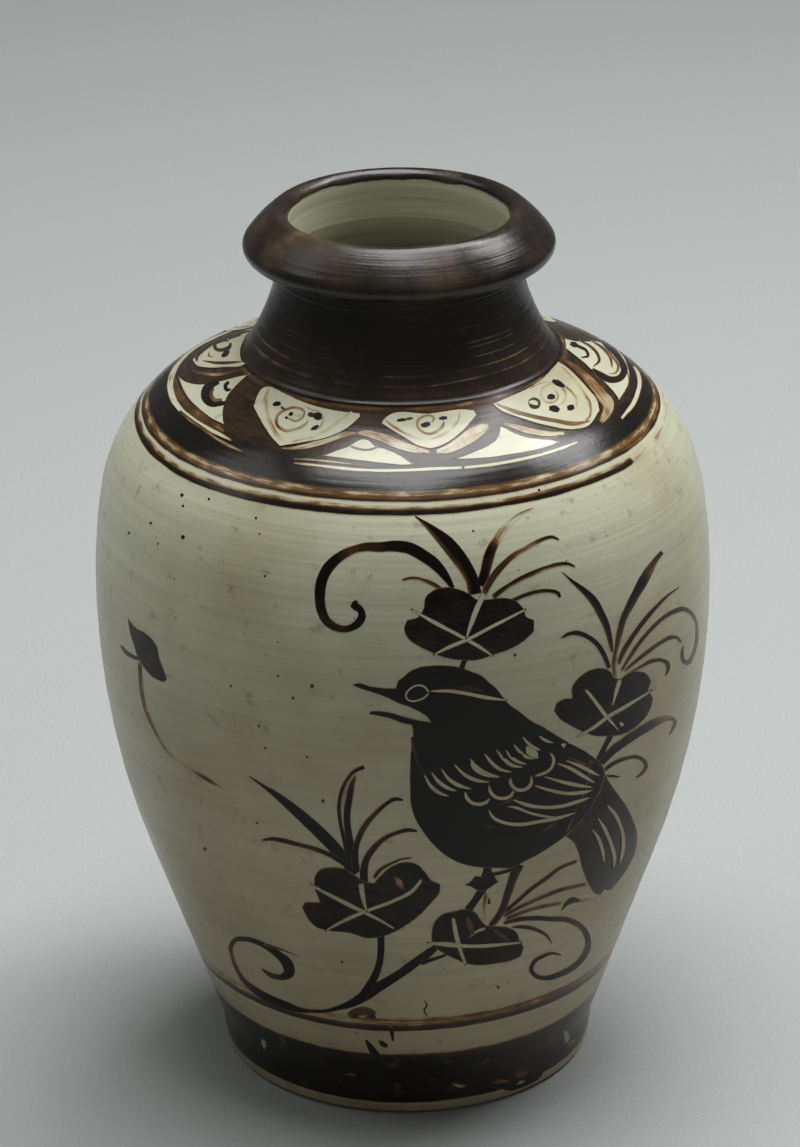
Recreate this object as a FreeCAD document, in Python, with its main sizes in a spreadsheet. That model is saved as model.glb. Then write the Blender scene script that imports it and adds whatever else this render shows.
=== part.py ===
"""A meiping vase, thrown in sections that are luted together, then slipped, painted and glazed.

The vase is a chain of rings about the Z axis. Its outer line runs up from the foot: a straight
lower wall, the long lower arc to the belly, the upper arc, the tight shoulder arc, a short
straight run to the crease, the hollow curve of the neck and the rolled lip. Every ring takes its
corners from that one line, at its own depth below the glazed skin, so neighbours share faces.
The frame stands on the foot: Z is up and the origin is the middle of the foot's resting plane.
"""
import FreeCAD, Part
import math
import os
import Sketcher
from collections import namedtuple

# Driving sizes in millimetres, and angles in degrees, in order from the foot up.
SIZES = (
    ("foot_height", 12.0, "height of the foot ring"),
    ("foot_taper", 1.7, "how much the foot narrows from its top to the floor"),
    ("foot_bevel", 1.0, "bevel turned on both edges that touch the floor"),
    ("foot_root", 1.5, "how much the foot ring thickens inwards at its root"),
    ("seat_width", 3.3, "ledge on the foot ring that carries the floor disc"),
    ("plug_depth", 5.0, "how deep the floor disc reaches down into the foot ring"),
    ("floor_rise", 3.0, "height of the floor disc above the foot ring"),
    ("lower_lean", 18.9, "lean of the straight lower wall from upright"),
    ("lower_arc", 280.5, "radius of the long arc from the lower wall to the belly"),
    ("belly_height", 170.3, "height of the widest circle"),
    ("belly_radius", 102.3, "radius of the widest circle"),
    ("upper_arc", 200.0, "radius of the arc above the belly"),
    ("shoulder_turn", 9.8, "angle that the upper arc turns through"),
    ("shoulder_arc", 53.7, "radius of the tight arc over the shoulder"),
    ("shoulder_slope", 65.2, "angle at which the shoulder arc ends"),
    ("shoulder_run", 19.4, "straight run from the shoulder arc to the crease"),
    ("neck_base_lean", 34.5, "lean of the neck wall at the crease"),
    ("neck_top_lean", 6.5, "lean of the neck wall under the lip"),
    ("neck_arc", 71.8, "radius of the hollow curve of the neck"),
    ("lip_roll", 3.6, "radius of the lip's two rounded edges"),
    ("lip_reach", 7.82, "how far the outer rounding lies outside the inner one"),
    ("lip_drop", 8.173, "how far the outer rounding lies below the inner one"),
    ("lip_swell", 8.0, "half the angle of the full curve between the two roundings"),
    ("body_wall", 7.0, "thickness of the clay in the body"),
    ("neck_wall", 2.6, "thickness of the clay in the neck"),
    ("seam_step", 4.0, "depth of the step in the belly seam"),
    ("coat", 0.5, "thickness of the slip and glaze outside"),
    ("lining", 0.4, "thickness of the glaze inside"),
    ("bare_band", 0.5, "bare clay between the foot's bevel and the edge of the slip"),
)

# Depths below the glazed skin, for the body and for the neck.
SKIN = "0"
CLAY = "sizes.coat"
MIDDLE = "(sizes.coat + sizes.body_wall / 2)"
INSIDE = "(sizes.coat + sizes.body_wall)"
LINED = "(sizes.coat + sizes.body_wall + sizes.lining)"
NECK_INSIDE = "(sizes.coat + sizes.neck_wall)"
NECK_LINED = "(sizes.coat + sizes.neck_wall + sizes.lining)"

# Heights of the floor disc and of the slip's lower edge.
FOOT_TOP = "sizes.foot_height"
RECESS = "(sizes.foot_height - sizes.plug_depth)"
FLOOR = "(sizes.foot_height + sizes.floor_rise)"
LINED_FLOOR = "(sizes.foot_height + sizes.floor_rise + sizes.lining)"
SLIP_EDGE = "(sizes.foot_bevel + sizes.bare_band)"

Spot = namedtuple("Spot", "r z")
Run = namedtuple("Run", "start radius turn")
LEFT, RIGHT = 1, -1


def line(start):
    """A straight run that leaves the corner `start`."""
    return Run(start, None, 0)


def curve(start, radius, turn):
    """A round run that leaves the corner `start` and turns left or right as it goes."""
    return Run(start, radius, turn)


# Corners of the outer line at a given depth. Each is a pair of formulas in the named sizes.

def low(angle, depth):
    """On the lower arc, `angle` below the level of the belly."""
    reach = f"(sizes.lower_arc - {depth})"
    return Spot(f"(sizes.belly_radius - sizes.lower_arc + {reach} * cos({angle}))",
                f"(sizes.belly_height - {reach} * sin({angle}))")


def wall_foot(depth):
    """Where the straight lower wall begins, at the end of the lower arc."""
    return low("sizes.lower_lean", depth)


def wall(height, depth):
    """On the straight lower wall, at a height above the floor."""
    top = wall_foot(depth)
    return Spot(f"({top.r} - ({top.z} - {height}) * tan(sizes.lower_lean))", height)


def foot_side(height, depth):
    """On the outside of the foot ring."""
    top = wall(FOOT_TOP, depth)
    return Spot(f"({top.r} - sizes.foot_taper * (1 - {height} / sizes.foot_height))", height)


def foot_bore(height):
    """On the inside of the foot ring, which the floor disc plugs."""
    seat = wall(FOOT_TOP, INSIDE)
    return Spot(f"({seat.r} - sizes.seat_width + sizes.foot_root * (1 - {height} / sizes.foot_height))",
                height)


def belly(depth):
    """On the widest circle."""
    return Spot(f"(sizes.belly_radius - {depth})", "sizes.belly_height")


def seam_tongue():
    """The lower end of the seam's tongue, on the inside of the clay."""
    reach = f"(sizes.lower_arc - {INSIDE})"
    return Spot(f"(sizes.belly_radius - sizes.lower_arc + sqrt({reach} ^ 2 - sizes.seam_step ^ 2))",
                "(sizes.belly_height - sizes.seam_step)")


def shoulder_start(depth):
    """Where the upper arc passes into the shoulder arc."""
    reach = f"(sizes.upper_arc - {depth})"
    return Spot(f"(sizes.belly_radius - sizes.upper_arc + {reach} * cos(sizes.shoulder_turn))",
                f"(sizes.belly_height + {reach} * sin(sizes.shoulder_turn))")


def shoulder_end(depth):
    """Where the shoulder arc passes into the straight run."""
    centre = shoulder_start("sizes.shoulder_arc")
    reach = f"(sizes.shoulder_arc - {depth})"
    return Spot(f"({centre.r} + {reach} * cos(sizes.shoulder_slope))",
                f"({centre.z} + {reach} * sin(sizes.shoulder_slope))")


def crease(body_depth, neck_depth):
    """Where the shoulder's straight run meets the neck, with a depth of its own on each side."""
    start = shoulder_end(SKIN)
    between = "(sizes.shoulder_slope - sizes.neck_base_lean)"
    body_share = f"(({body_depth} - {neck_depth} * cos{between}) / sin{between} ^ 2)"
    neck_share = f"(({neck_depth} - {body_depth} * cos{between}) / sin{between} ^ 2)"
    return Spot(f"({start.r} - sizes.shoulder_run * sin(sizes.shoulder_slope)"
                f" - {body_share} * cos(sizes.shoulder_slope)"
                f" - {neck_share} * cos(sizes.neck_base_lean))",
                f"({start.z} + sizes.shoulder_run * cos(sizes.shoulder_slope)"
                f" - {body_share} * sin(sizes.shoulder_slope)"
                f" - {neck_share} * sin(sizes.neck_base_lean))")


def neck_top(depth):
    """On the end of the neck, square to its wall."""
    base = crease(SKIN, SKIN)
    reach = f"(sizes.neck_arc + {depth})"
    return Spot(f"({base.r} + sizes.neck_arc * cos(sizes.neck_base_lean)"
                f" - {reach} * cos(sizes.neck_top_lean))",
                f"({base.z} + sizes.neck_arc * sin(sizes.neck_base_lean)"
                f" - {reach} * sin(sizes.neck_top_lean))")


LIP_SPAN = "sqrt(sizes.lip_reach ^ 2 + sizes.lip_drop ^ 2)"
LIP_BULGE = f"(sizes.lip_roll + {LIP_SPAN} / 2 / sin(sizes.lip_swell))"


def lip_inner_centre():
    """The centre of the lip's inner rounding, over the bore."""
    return Spot(f"({neck_top(NECK_LINED).r} + sizes.lip_roll)",
                f"({neck_top(SKIN).z} + sizes.lip_roll + sizes.lip_drop)")


def lip_outer_centre():
    """The centre of the lip's outer rounding."""
    inner = lip_inner_centre()
    return Spot(f"({inner.r} + sizes.lip_reach)", f"({inner.z} - sizes.lip_drop)")


def lip_tangent(centre, depth, swell):
    """Where a rounding passes into the full curve; `swell` is the angle towards the outer edge."""
    reach = f"((sizes.lip_roll - {depth}) / {LIP_SPAN})"
    return Spot(f"({centre.r} + {reach} * (sizes.lip_drop * cos({swell}) + sizes.lip_reach * sin({swell})))",
                f"({centre.z} + {reach} * (sizes.lip_reach * cos({swell}) - sizes.lip_drop * sin({swell})))")


def lip_bore(depth):
    """The upper end of the straight bore."""
    centre = lip_inner_centre()
    return Spot(f"({centre.r} - sizes.lip_roll + {depth})", centre.z)


def lip_under(depth):
    """The lowest point of the lip's outer rounding."""
    centre = lip_outer_centre()
    return Spot(centre.r, f"({centre.z} - sizes.lip_roll + {depth})")


# Stretches of the outer line that several rings share, as runs from corner to corner.

def body_up(depth):
    """Up the body from the lower arc to the end of the shoulder arc, without its last corner."""
    return [curve(wall_foot(depth), f"sizes.lower_arc - {depth}", LEFT),
            curve(belly(depth), f"sizes.upper_arc - {depth}", LEFT),
            curve(shoulder_start(depth), f"sizes.shoulder_arc - {depth}", LEFT),
            line(shoulder_end(depth))]


def shoulder_down(depth):
    """Down the body from the end of the shoulder arc to the belly, without its last corner."""
    return [curve(shoulder_end(depth), f"sizes.shoulder_arc - {depth}", RIGHT),
            curve(shoulder_start(depth), f"sizes.upper_arc - {depth}", RIGHT)]


def body_down(depth):
    """Down the body from the end of the shoulder arc to the straight lower wall."""
    return shoulder_down(depth) + [curve(belly(depth), f"sizes.lower_arc - {depth}", RIGHT),
                                   line(wall_foot(depth))]


def lip_up(depth):
    """Round the lip from its underside to the bore."""
    roll = f"sizes.lip_roll - {depth}"
    return [curve(lip_under(depth), roll, LEFT),
            curve(lip_tangent(lip_outer_centre(), depth, "sizes.lip_swell"),
                  f"{LIP_BULGE} - {depth}", LEFT),
            curve(lip_tangent(lip_inner_centre(), depth, "-sizes.lip_swell"), roll, LEFT),
            line(lip_bore(depth))]


def lip_down(depth):
    """Round the lip from the bore to its underside."""
    roll = f"sizes.lip_roll - {depth}"
    return [curve(lip_bore(depth), roll, RIGHT),
            curve(lip_tangent(lip_inner_centre(), depth, "-sizes.lip_swell"),
                  f"{LIP_BULGE} - {depth}", RIGHT),
            curve(lip_tangent(lip_outer_centre(), depth, "sizes.lip_swell"), roll, RIGHT),
            line(lip_under(depth))]


# Outlines of the rings, each a closed chain of runs in the half plane beside the axis.

def foot_ring():
    """The turned foot ring, bevelled where it meets the floor."""
    outer = foot_side("0", CLAY)
    inner = foot_bore("0")
    return [line(Spot(f"({outer.r} - sizes.foot_bevel)", "0")),
            line(foot_side("sizes.foot_bevel", CLAY)),
            line(wall(FOOT_TOP, CLAY)),
            line(foot_bore(FOOT_TOP)),
            line(foot_bore("sizes.foot_bevel")),
            line(Spot(f"({inner.r} + sizes.foot_bevel)", "0"))]


def floor_disc():
    """The floor of the vase, a stepped disc that plugs the foot ring."""
    return [line(Spot("0", RECESS)),
            line(foot_bore(RECESS)),
            line(foot_bore(FOOT_TOP)),
            line(wall(FOOT_TOP, INSIDE)),
            line(wall(FLOOR, INSIDE)),
            line(Spot("0", FLOOR))]


def lower_body():
    """The lower thrown section, with the outer half of the belly seam."""
    return [line(wall(FOOT_TOP, CLAY)),
            curve(wall_foot(CLAY), f"sizes.lower_arc - {CLAY}", LEFT),
            line(belly(CLAY)),
            line(belly(MIDDLE)),
            line(Spot(belly(MIDDLE).r, seam_tongue().z)),
            curve(seam_tongue(), f"sizes.lower_arc - {INSIDE}", RIGHT),
            line(wall_foot(INSIDE)),
            line(wall(FOOT_TOP, INSIDE))]


def upper_body():
    """The upper thrown section, whose tongue drops inside the lower one."""
    return ([line(Spot(belly(MIDDLE).r, seam_tongue().z)), line(belly(MIDDLE))]
            + body_up(CLAY)[1:]
            + [line(crease(CLAY, CLAY)), line(crease(INSIDE, NECK_INSIDE))]
            + shoulder_down(INSIDE)
            + [curve(belly(INSIDE), f"sizes.lower_arc - {INSIDE}", RIGHT), line(seam_tongue())])


def neck_collar():
    """The neck, a hollow-curved collar set into the shoulder's opening."""
    return [curve(crease(CLAY, CLAY), f"sizes.neck_arc + {CLAY}", RIGHT),
            line(neck_top(CLAY)),
            curve(neck_top(NECK_INSIDE), f"sizes.neck_arc + {NECK_INSIDE}", LEFT),
            line(crease(INSIDE, NECK_INSIDE))]


def mouth_rim():
    """The rolled lip, a thick ring on the end of the neck."""
    return ([line(neck_top(CLAY)), line(Spot(neck_top(CLAY).r, lip_under(CLAY).z))]
            + lip_up(CLAY)
            + [line(neck_top(NECK_INSIDE))])


def slip_coat():
    """White slip and clear glaze over the body, stopping just short of the floor."""
    return ([line(foot_side(SLIP_EDGE, SKIN)), line(wall(FOOT_TOP, SKIN))]
            + body_up(SKIN)
            + [line(crease(SKIN, SKIN)), line(crease(CLAY, CLAY))]
            + body_down(CLAY)
            + [line(wall(FOOT_TOP, CLAY)), line(foot_side(SLIP_EDGE, CLAY))])


def iron_glaze():
    """Dark iron glaze over the neck and round the lip."""
    return ([curve(crease(SKIN, SKIN), "sizes.neck_arc", RIGHT), line(neck_top(SKIN))]
            + lip_up(SKIN)
            + lip_down(CLAY)
            + [line(Spot(neck_top(CLAY).r, lip_under(CLAY).z)),
               curve(neck_top(CLAY), f"sizes.neck_arc + {CLAY}", LEFT),
               line(crease(CLAY, CLAY))])


def inner_glaze():
    """The pale glaze that lines the vase, from the floor to the lip."""
    return ([line(Spot("0", FLOOR)), line(wall(FLOOR, INSIDE))]
            + body_up(INSIDE)
            + [curve(crease(INSIDE, NECK_INSIDE), f"sizes.neck_arc + {NECK_INSIDE}", RIGHT),
               line(neck_top(NECK_INSIDE)),
               line(lip_bore(CLAY)),
               line(lip_bore(SKIN)),
               curve(neck_top(NECK_LINED), f"sizes.neck_arc + {NECK_LINED}", LEFT),
               line(crease(LINED, NECK_LINED))]
            + body_down(LINED)
            + [line(wall(LINED_FLOOR, LINED)), line(Spot("0", LINED_FLOOR))])


RINGS = (foot_ring, floor_disc, lower_body, upper_body, neck_collar, mouth_rim,
         slip_coat, iron_glaze, inner_glaze)


def make_sheet(doc):
    """The sheet of driving sizes: an alias, a plain number and a note in each row."""
    sheet = doc.addObject("Spreadsheet::Sheet", "sizes")
    for row, (name, value, note) in enumerate(SIZES, start=1):
        sheet.set(f"A{row}", name)
        sheet.set(f"B{row}", str(value))
        sheet.setAlias(f"B{row}", name)
        sheet.set(f"C{row}", note)
    doc.recompute()
    return sheet


def number(sheet, formula):
    """The present value of a formula in the named sizes."""
    value = sheet.evalExpression(formula)
    return float(getattr(value, "Value", value))


def arc_between(start, end, radius, turn):
    """The arc of a radius from one point to another, as a counter-clockwise arc of a circle."""
    chord = end - start
    rise = math.sqrt(radius ** 2 - (chord.Length / 2) ** 2)
    across = FreeCAD.Vector(-chord.y, chord.x, 0).normalize()
    centre = (start + end) / 2 + across * rise * turn
    first, last = (start, end) if turn == LEFT else (end, start)
    angles = [math.atan2(p.y - centre.y, p.x - centre.x) for p in (first, last)]
    return Part.ArcOfCircle(Part.Circle(centre, FreeCAD.Vector(0, 0, 1), radius), *angles)


def fix_corner(sketch, index, edge, end, spot):
    """Hold a corner at its radius and height, each bound to its formula."""
    for kind, axis, formula, reach in (("DistanceX", -2, spot.r, "radius"),
                                       ("DistanceY", -1, spot.z, "height")):
        if formula == "0":
            sketch.addConstraint(Sketcher.Constraint("PointOnObject", edge, end, axis))
            continue
        point = sketch.getPoint(edge, end)
        value = point.x if kind == "DistanceX" else point.y
        number_of = sketch.addConstraint(Sketcher.Constraint(kind, -1, 1, edge, end, value))
        sketch.renameConstraint(number_of, f"corner_{index}_{reach}")
        sketch.setExpression(f"Constraints.corner_{index}_{reach}", formula)


def draw_outline(sheet, sketch, runs):
    """Draw a closed chain of runs and bind every corner and radius to the sheet."""
    points = [FreeCAD.Vector(number(sheet, run.start.r), number(sheet, run.start.z), 0)
              for run in runs]
    ends = []
    for index, run in enumerate(runs):
        start, end = points[index], points[(index + 1) % len(points)]
        if run.radius is None:
            sketch.addGeometry(Part.LineSegment(start, end), False)
        else:
            sketch.addGeometry(arc_between(start, end, number(sheet, run.radius), run.turn), False)
        ends.append((2, 1) if run.turn == RIGHT else (1, 2))
    for index, run in enumerate(runs):
        after = (index + 1) % len(runs)
        sketch.addConstraint(Sketcher.Constraint("Coincident", index, ends[index][1],
                                                 after, ends[after][0]))
        fix_corner(sketch, index, index, ends[index][0], run.start)
        if run.radius is not None:
            bend = sketch.addConstraint(Sketcher.Constraint("Radius", index,
                                                            number(sheet, run.radius)))
            sketch.renameConstraint(bend, f"bend_{index}")
            sketch.setExpression(f"Constraints.bend_{index}", run.radius)


def turn_ring(doc, sheet, outline):
    """Turn one ring about the vase's axis, as a body of its own."""
    name = outline.__name__
    body = doc.addObject("PartDesign::Body", name)
    body.Label = name
    body.Placement = FreeCAD.Placement()
    sketch = body.newObject("Sketcher::SketchObject", name + "_outline")
    upright = [plane for plane in body.Origin.OriginFeatures if plane.Role == "XZ_Plane"][0]
    sketch.AttachmentSupport = [(upright, "")]
    sketch.MapMode = "FlatFace"
    draw_outline(sheet, sketch, outline())
    turned = body.newObject("PartDesign::Revolution", name + "_turned")
    turned.Profile = sketch
    turned.ReferenceAxis = (sketch, ["V_Axis"])
    turned.Angle = 360
    sketch.Visibility = False
    return body


def check(doc, bodies):
    """Stop if any object failed or any ring isn't one valid solid."""
    for item in doc.Objects:
        if "Invalid" in item.State or "Error" in item.State:
            raise RuntimeError(f"{item.Name} did not rebuild: {item.State}")
    for body in bodies:
        shape = body.Shape
        if shape.isNull() or not shape.isValid() or len(shape.Solids) != 1:
            raise RuntimeError(f"{body.Label} is not one valid solid")


def main():
    doc = FreeCAD.newDocument("meiping_vase")
    sheet = make_sheet(doc)
    bodies = [turn_ring(doc, sheet, outline) for outline in RINGS]
    doc.recompute()
    check(doc, bodies)
    os.makedirs("parts", exist_ok=True)
    for body in bodies:
        body.Shape.exportStep(f"parts/{body.Label}.step")
        box = body.Shape.optimalBoundingBox()
        print(f"{body.Label}: radius {box.XMax:.3f}, z {box.ZMin:.3f} to {box.ZMax:.3f},"
              f" volume {body.Shape.Volume:.1f}")
    for name, spot in (("bore", lip_bore(SKIN)), ("bore foot", neck_top(NECK_LINED)),
                       ("crease", crease(SKIN, SKIN)), ("foot", foot_side("0", CLAY))):
        print(f"{name}: radius {number(sheet, spot.r):.3f}, height {number(sheet, spot.z):.3f}")


main()
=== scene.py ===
"""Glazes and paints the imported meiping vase, and lays out its camera, floor and lights.

The CAD rings stay as the clay. The slip coat and the iron glaze are turned again as smooth hand-thrown
skins on the CAD outlines, and the brushwork is laid on the slip as thin sheets of pigment. A motif is
written in pixels of the 800 x 1147 photograph, and each point goes to the place on the slip that the
camera sees there. Lengths in the code are millimetres unless a comment says otherwise.
"""

import bisect
import functools
import math

import bmesh
import bpy
from bpy.props import FloatProperty, FloatVectorProperty, IntProperty, PointerProperty
from bpy.types import Operator, Panel, PropertyGroup
from mathutils import Matrix, Vector, noise
from mathutils.bvhtree import BVHTree


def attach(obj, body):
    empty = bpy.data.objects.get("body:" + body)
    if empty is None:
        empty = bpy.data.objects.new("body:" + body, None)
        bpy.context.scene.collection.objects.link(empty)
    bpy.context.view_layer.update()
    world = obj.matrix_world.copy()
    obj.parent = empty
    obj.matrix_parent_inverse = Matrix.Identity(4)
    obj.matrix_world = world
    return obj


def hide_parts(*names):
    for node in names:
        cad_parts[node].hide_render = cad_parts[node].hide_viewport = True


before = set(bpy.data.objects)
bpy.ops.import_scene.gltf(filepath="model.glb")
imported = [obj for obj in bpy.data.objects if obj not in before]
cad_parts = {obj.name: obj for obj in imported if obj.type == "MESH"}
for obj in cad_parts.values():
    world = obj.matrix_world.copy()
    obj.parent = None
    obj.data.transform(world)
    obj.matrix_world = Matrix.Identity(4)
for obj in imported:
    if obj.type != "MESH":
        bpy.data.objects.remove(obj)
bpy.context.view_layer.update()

bl_info = {
    "name": "Meiping vase, bird among flowers",
    "version": (1, 0, 0),
    "blender": (4, 5, 0),
    "location": "View3D > Sidebar > Vase",
    "description": "Glazes and paints the packed vase and lays out its camera, floor and lights",
    "category": "Object",
}

MM = 0.001
# The middle of the photograph and its height, in pixels
PHOTO_CENTRE = (400.0, 573.5)
PHOTO_HEIGHT = 1147.0
# How many pixels beside the vase a point of a motif may lie
REACH = 60
# Height of the camera's sensor, which the lens goes with
SENSOR = 36.0
# Pigment where the brush was full, and where it was scratched away
DENSE = 1.3
RESERVE = 0.0
# Refractive index of the glaze over the brushwork, and where pigment dries it on bird and flowers
WET = 1.45
DRY = 1.3
# Edges of the skins that turn by more stay sharp, and so do corners of a painted shape
FACET = math.radians(32)
CORNER = math.radians(44)
# Points of a spun ring this near each other are one
WELD = 1e-5
# Steps of a full turn of a painted band
BAND_STEPS = 304
# Pixels between the points round a painted shape, and pixels to one unit of its grain map
OUTLINE_STEP = 3.0
GRAIN = 300


def linear(code):
    """The linear colour of an sRGB hex value."""
    levels = [int(code[i : i + 2], 16) / 255 for i in (1, 3, 5)]
    return tuple(c / 12.92 if c <= 0.04045 else ((c + 0.055) / 1.055) ** 2.4 for c in levels)


def tint(code):
    """The same as a colour with full alpha, for a node's socket."""
    return linear(code) + (1.0,)


class VaseCamera(PropertyGroup):
    place: FloatVectorProperty(
        name="Place",
        description="Where the photograph was taken from",
        default=(0.0, -1.44492, 0.80085),
        unit="LENGTH",
        subtype="TRANSLATION",
    )
    pitch: FloatProperty(
        name="Pitch",
        description="How far the camera looks down",
        default=0.4111,
        unit="ROTATION",
    )
    yaw: FloatProperty(
        name="Yaw",
        description="How far the camera is turned to its left",
        default=0.0006,
        unit="ROTATION",
    )
    roll: FloatProperty(
        name="Roll",
        description="How far the camera leans to its right",
        default=0.0110,
        unit="ROTATION",
    )
    lens: FloatProperty(
        name="Lens",
        description="Focal length over a sensor 36 mm tall",
        default=148.29,
        unit="CAMERA",
    )


class VaseThrowing(PropertyGroup):
    steps: IntProperty(
        name="Steps",
        description="Steps of a full turn of the skins",
        default=240,
        min=48,
    )
    wobble: FloatProperty(
        name="Wobble",
        description="How far the hand-thrown wall strays from true",
        default=0.14 * MM,
        unit="LENGTH",
        precision=5,
    )
    pigment_depth: FloatProperty(
        name="Pigment depth",
        description="Thickness of a sheet of brushwork, most of it sunk in the slip",
        default=0.16 * MM,
        unit="LENGTH",
        precision=5,
    )


class VaseColours(PropertyGroup):
    slip: FloatVectorProperty(
        name="Slip",
        description="White slip under clear glaze",
        default=linear("#b3b19a"),
        size=3,
        subtype="COLOR",
    )
    iron: FloatVectorProperty(
        name="Iron",
        description="Iron glaze where it lies thick",
        default=linear("#15110a"),
        size=3,
        subtype="COLOR",
    )
    floor: FloatVectorProperty(
        name="Floor",
        description="Plain pale felt under the vase",
        default=linear("#abafae"),
        size=3,
        subtype="COLOR",
    )


# ---------------------------------------------------------------------------------------------
# The thrown skin
# ---------------------------------------------------------------------------------------------


def trace(points, step, closed=False, corner=math.pi):
    """Points about a step apart on a curve through the given ones, which may carry more numbers
    than x and y. The curve is smooth but where it turns by more than a corner's angle."""
    knots = [Vector(point) for point in points]
    count = len(knots)

    def knot(i):
        return knots[i % count] if closed else knots[min(max(i, 0), count - 1)]

    def slope(i, leaving):
        before = knot(i) - knot(i - 1)
        after = knot(i + 1) - knot(i)
        back = before.xy.length
        ahead = after.xy.length
        sharp = back > 1e-9 and ahead > 1e-9 and before.xy.angle(after.xy) > corner
        if back < 1e-9 or (sharp and leaving):
            return after / ahead
        if ahead < 1e-9 or sharp:
            return before / back
        return (before * (ahead / back) + after * (back / ahead)) / (back + ahead)

    line = []
    for i in range(count if closed else count - 1):
        a = knot(i)
        b = knot(i + 1)
        span = (b - a).xy.length
        leave = slope(i, True) * span
        arrive = slope(i + 1, False) * span
        parts = max(1, round(span / step))
        for k in range(parts):
            t = k / parts
            start = a * (2 * t**3 - 3 * t**2 + 1) + leave * (t**3 - 2 * t**2 + t)
            line.append(start + b * (3 * t**2 - 2 * t**3) + arrive * (t**3 - t**2))
    if not closed:
        line.append(knots[-1])
    return line


def seam_outline(name):
    """The closed outline of a turned CAD node, read once round the seam of its mesh, where y is
    zero to two micrometres, with the clay on the left of each step."""
    bm = bmesh.new()
    bm.from_mesh(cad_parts[name].data)
    bmesh.ops.remove_doubles(bm, verts=bm.verts, dist=1e-6)
    seam = {v for v in bm.verts if abs(v.co.y) < 2e-6 and v.co.x > 0}
    vert = min(seam, key=lambda v: (v.co.z, v.co.x))
    walked = []
    while vert is not None:
        walked.append(vert)
        seam.discard(vert)
        ahead = [e.other_vert(vert) for e in vert.link_edges if e.other_vert(vert) in seam]
        vert = min(ahead, key=lambda v: -v.co.x) if ahead else None
    outline = [Vector((v.co.x, v.co.z)) / MM for v in walked]
    bm.free()
    area = sum(a.cross(b) for a, b in zip(outline, outline[1:] + outline[:1]))
    return outline if area > 0 else outline[::-1]


def smooth_outline(name, step):
    """The outline again with even steps, smooth between its corners."""
    outline = seam_outline(name)
    count = len(outline)
    turns = []
    for i in range(count):
        before = outline[i] - outline[i - 1]
        after = outline[(i + 1) % count] - outline[i]
        turns.append(before.angle(after))
    corners = [i for i in range(count) if turns[i] > FACET]
    line = []
    for start, end in zip(corners, corners[1:] + [corners[0] + count]):
        run = [outline[i % count] for i in range(start, end + 1)]
        line += trace(run, step)[:-1]
    return line


@functools.lru_cache
def skin_line():
    """Heights and radii up the outside of the slip, from the foot to the crease of the neck."""
    line = smooth_outline("slip_coat", 0.4)
    widest = {}
    for radius, height in line:
        key = round(height / 0.4)
        if key not in widest or radius > widest[key][1]:
            widest[key] = (height, radius)
    top = max(line, key=lambda p: p.y)
    rows = sorted(widest.values()) + [(top.y, top.x)]
    return [row[0] for row in rows], [row[1] for row in rows]


def skin_radius(height):
    """How far the skin stands from the axis at a height, between two rows of its line."""
    heights, radii = skin_line()
    i = min(max(bisect.bisect(heights, height), 1), len(heights) - 1)
    share = (height - heights[i - 1]) / (heights[i] - heights[i - 1])
    return radii[i - 1] + (radii[i] - radii[i - 1]) * share


def wobble(turn, height):
    """How far out the thrown wall strays here, none at the foot and at the neck."""
    size = bpy.context.scene.vase_throwing.wobble / MM
    ends = min(max((height - 4) / 20, 0), 1) * min(max((248 - height) / 14, 0), 1)
    oval = math.sin(2 * turn + 0.6 + height / 90)
    swell = 0.7 * math.sin(3 * turn - height / 35 + 1.9)
    ridge = 0.3 * math.sin(height / 2.3 + turn)
    return size * ends * (oval + swell + ridge)


def on_skin(turn, height, lift):
    """The place (metres) at a turn from the front and a height, that far above the slip."""
    heights, _ = skin_line()
    height = min(max(height, heights[0] + 0.05), heights[-1] - 0.05)
    slope = (skin_radius(height + 0.3) - skin_radius(height - 0.3)) / 0.6
    long = math.hypot(1, slope)
    radius = skin_radius(height) + wobble(turn, height) + lift / long
    rise = height - lift * slope / long
    return Vector((radius * math.sin(turn), -radius * math.cos(turn), rise)) * MM


# ---------------------------------------------------------------------------------------------
# Pieces
# ---------------------------------------------------------------------------------------------


def once(parts):
    """The parts of a mesh in their first order, none of them twice."""
    return list(dict.fromkeys(parts))


def finish_piece(name, bm, material, depth=0.0):
    """Makes the piece, smooth but for its rims, and gives it its body, material and thickness."""
    for edge in bm.edges:
        if edge.is_boundary:
            edge.smooth = False
    for face in bm.faces:
        face.smooth = True
    mesh = bpy.data.meshes.new(name)
    bm.to_mesh(mesh)
    bm.free()
    mesh.materials.append(material)
    piece = bpy.data.objects.new(name, mesh)
    bpy.context.scene.collection.objects.link(piece)
    if depth:
        wall = piece.modifiers.new("pigment", "SOLIDIFY")
        wall.thickness = depth
        wall.offset = -1
    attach(piece, "root")
    return piece


def spin_round(bm, outline, steps):
    """Spins an outline right round the upright axis, and returns the new faces. One eighth is
    spun and then doubled three times, which is quicker than one long spin."""
    before = set(bm.faces)
    bmesh.ops.spin(bm, geom=outline, cent=(0, 0, 0), axis=(0, 0, 1), angle=math.pi / 4, steps=steps // 8)
    faces = [face for face in bm.faces if face not in before]
    for doubling in range(3):
        verts = once(vert for face in faces for vert in face.verts)
        edges = once(edge for face in faces for edge in face.edges)
        copy = bmesh.ops.duplicate(bm, geom=verts + edges + faces)["geom"]
        bmesh.ops.rotate(
            bm,
            cent=(0, 0, 0),
            matrix=Matrix.Rotation(math.pi / 4 * 2**doubling, 3, "Z"),
            verts=[part for part in copy if isinstance(part, bmesh.types.BMVert)],
        )
        faces += [part for part in copy if isinstance(part, bmesh.types.BMFace)]
    verts = once(vert for face in faces for vert in face.verts)
    bmesh.ops.remove_doubles(bm, verts=verts, dist=WELD)
    return [face for face in bm.faces if face not in before]


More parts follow.
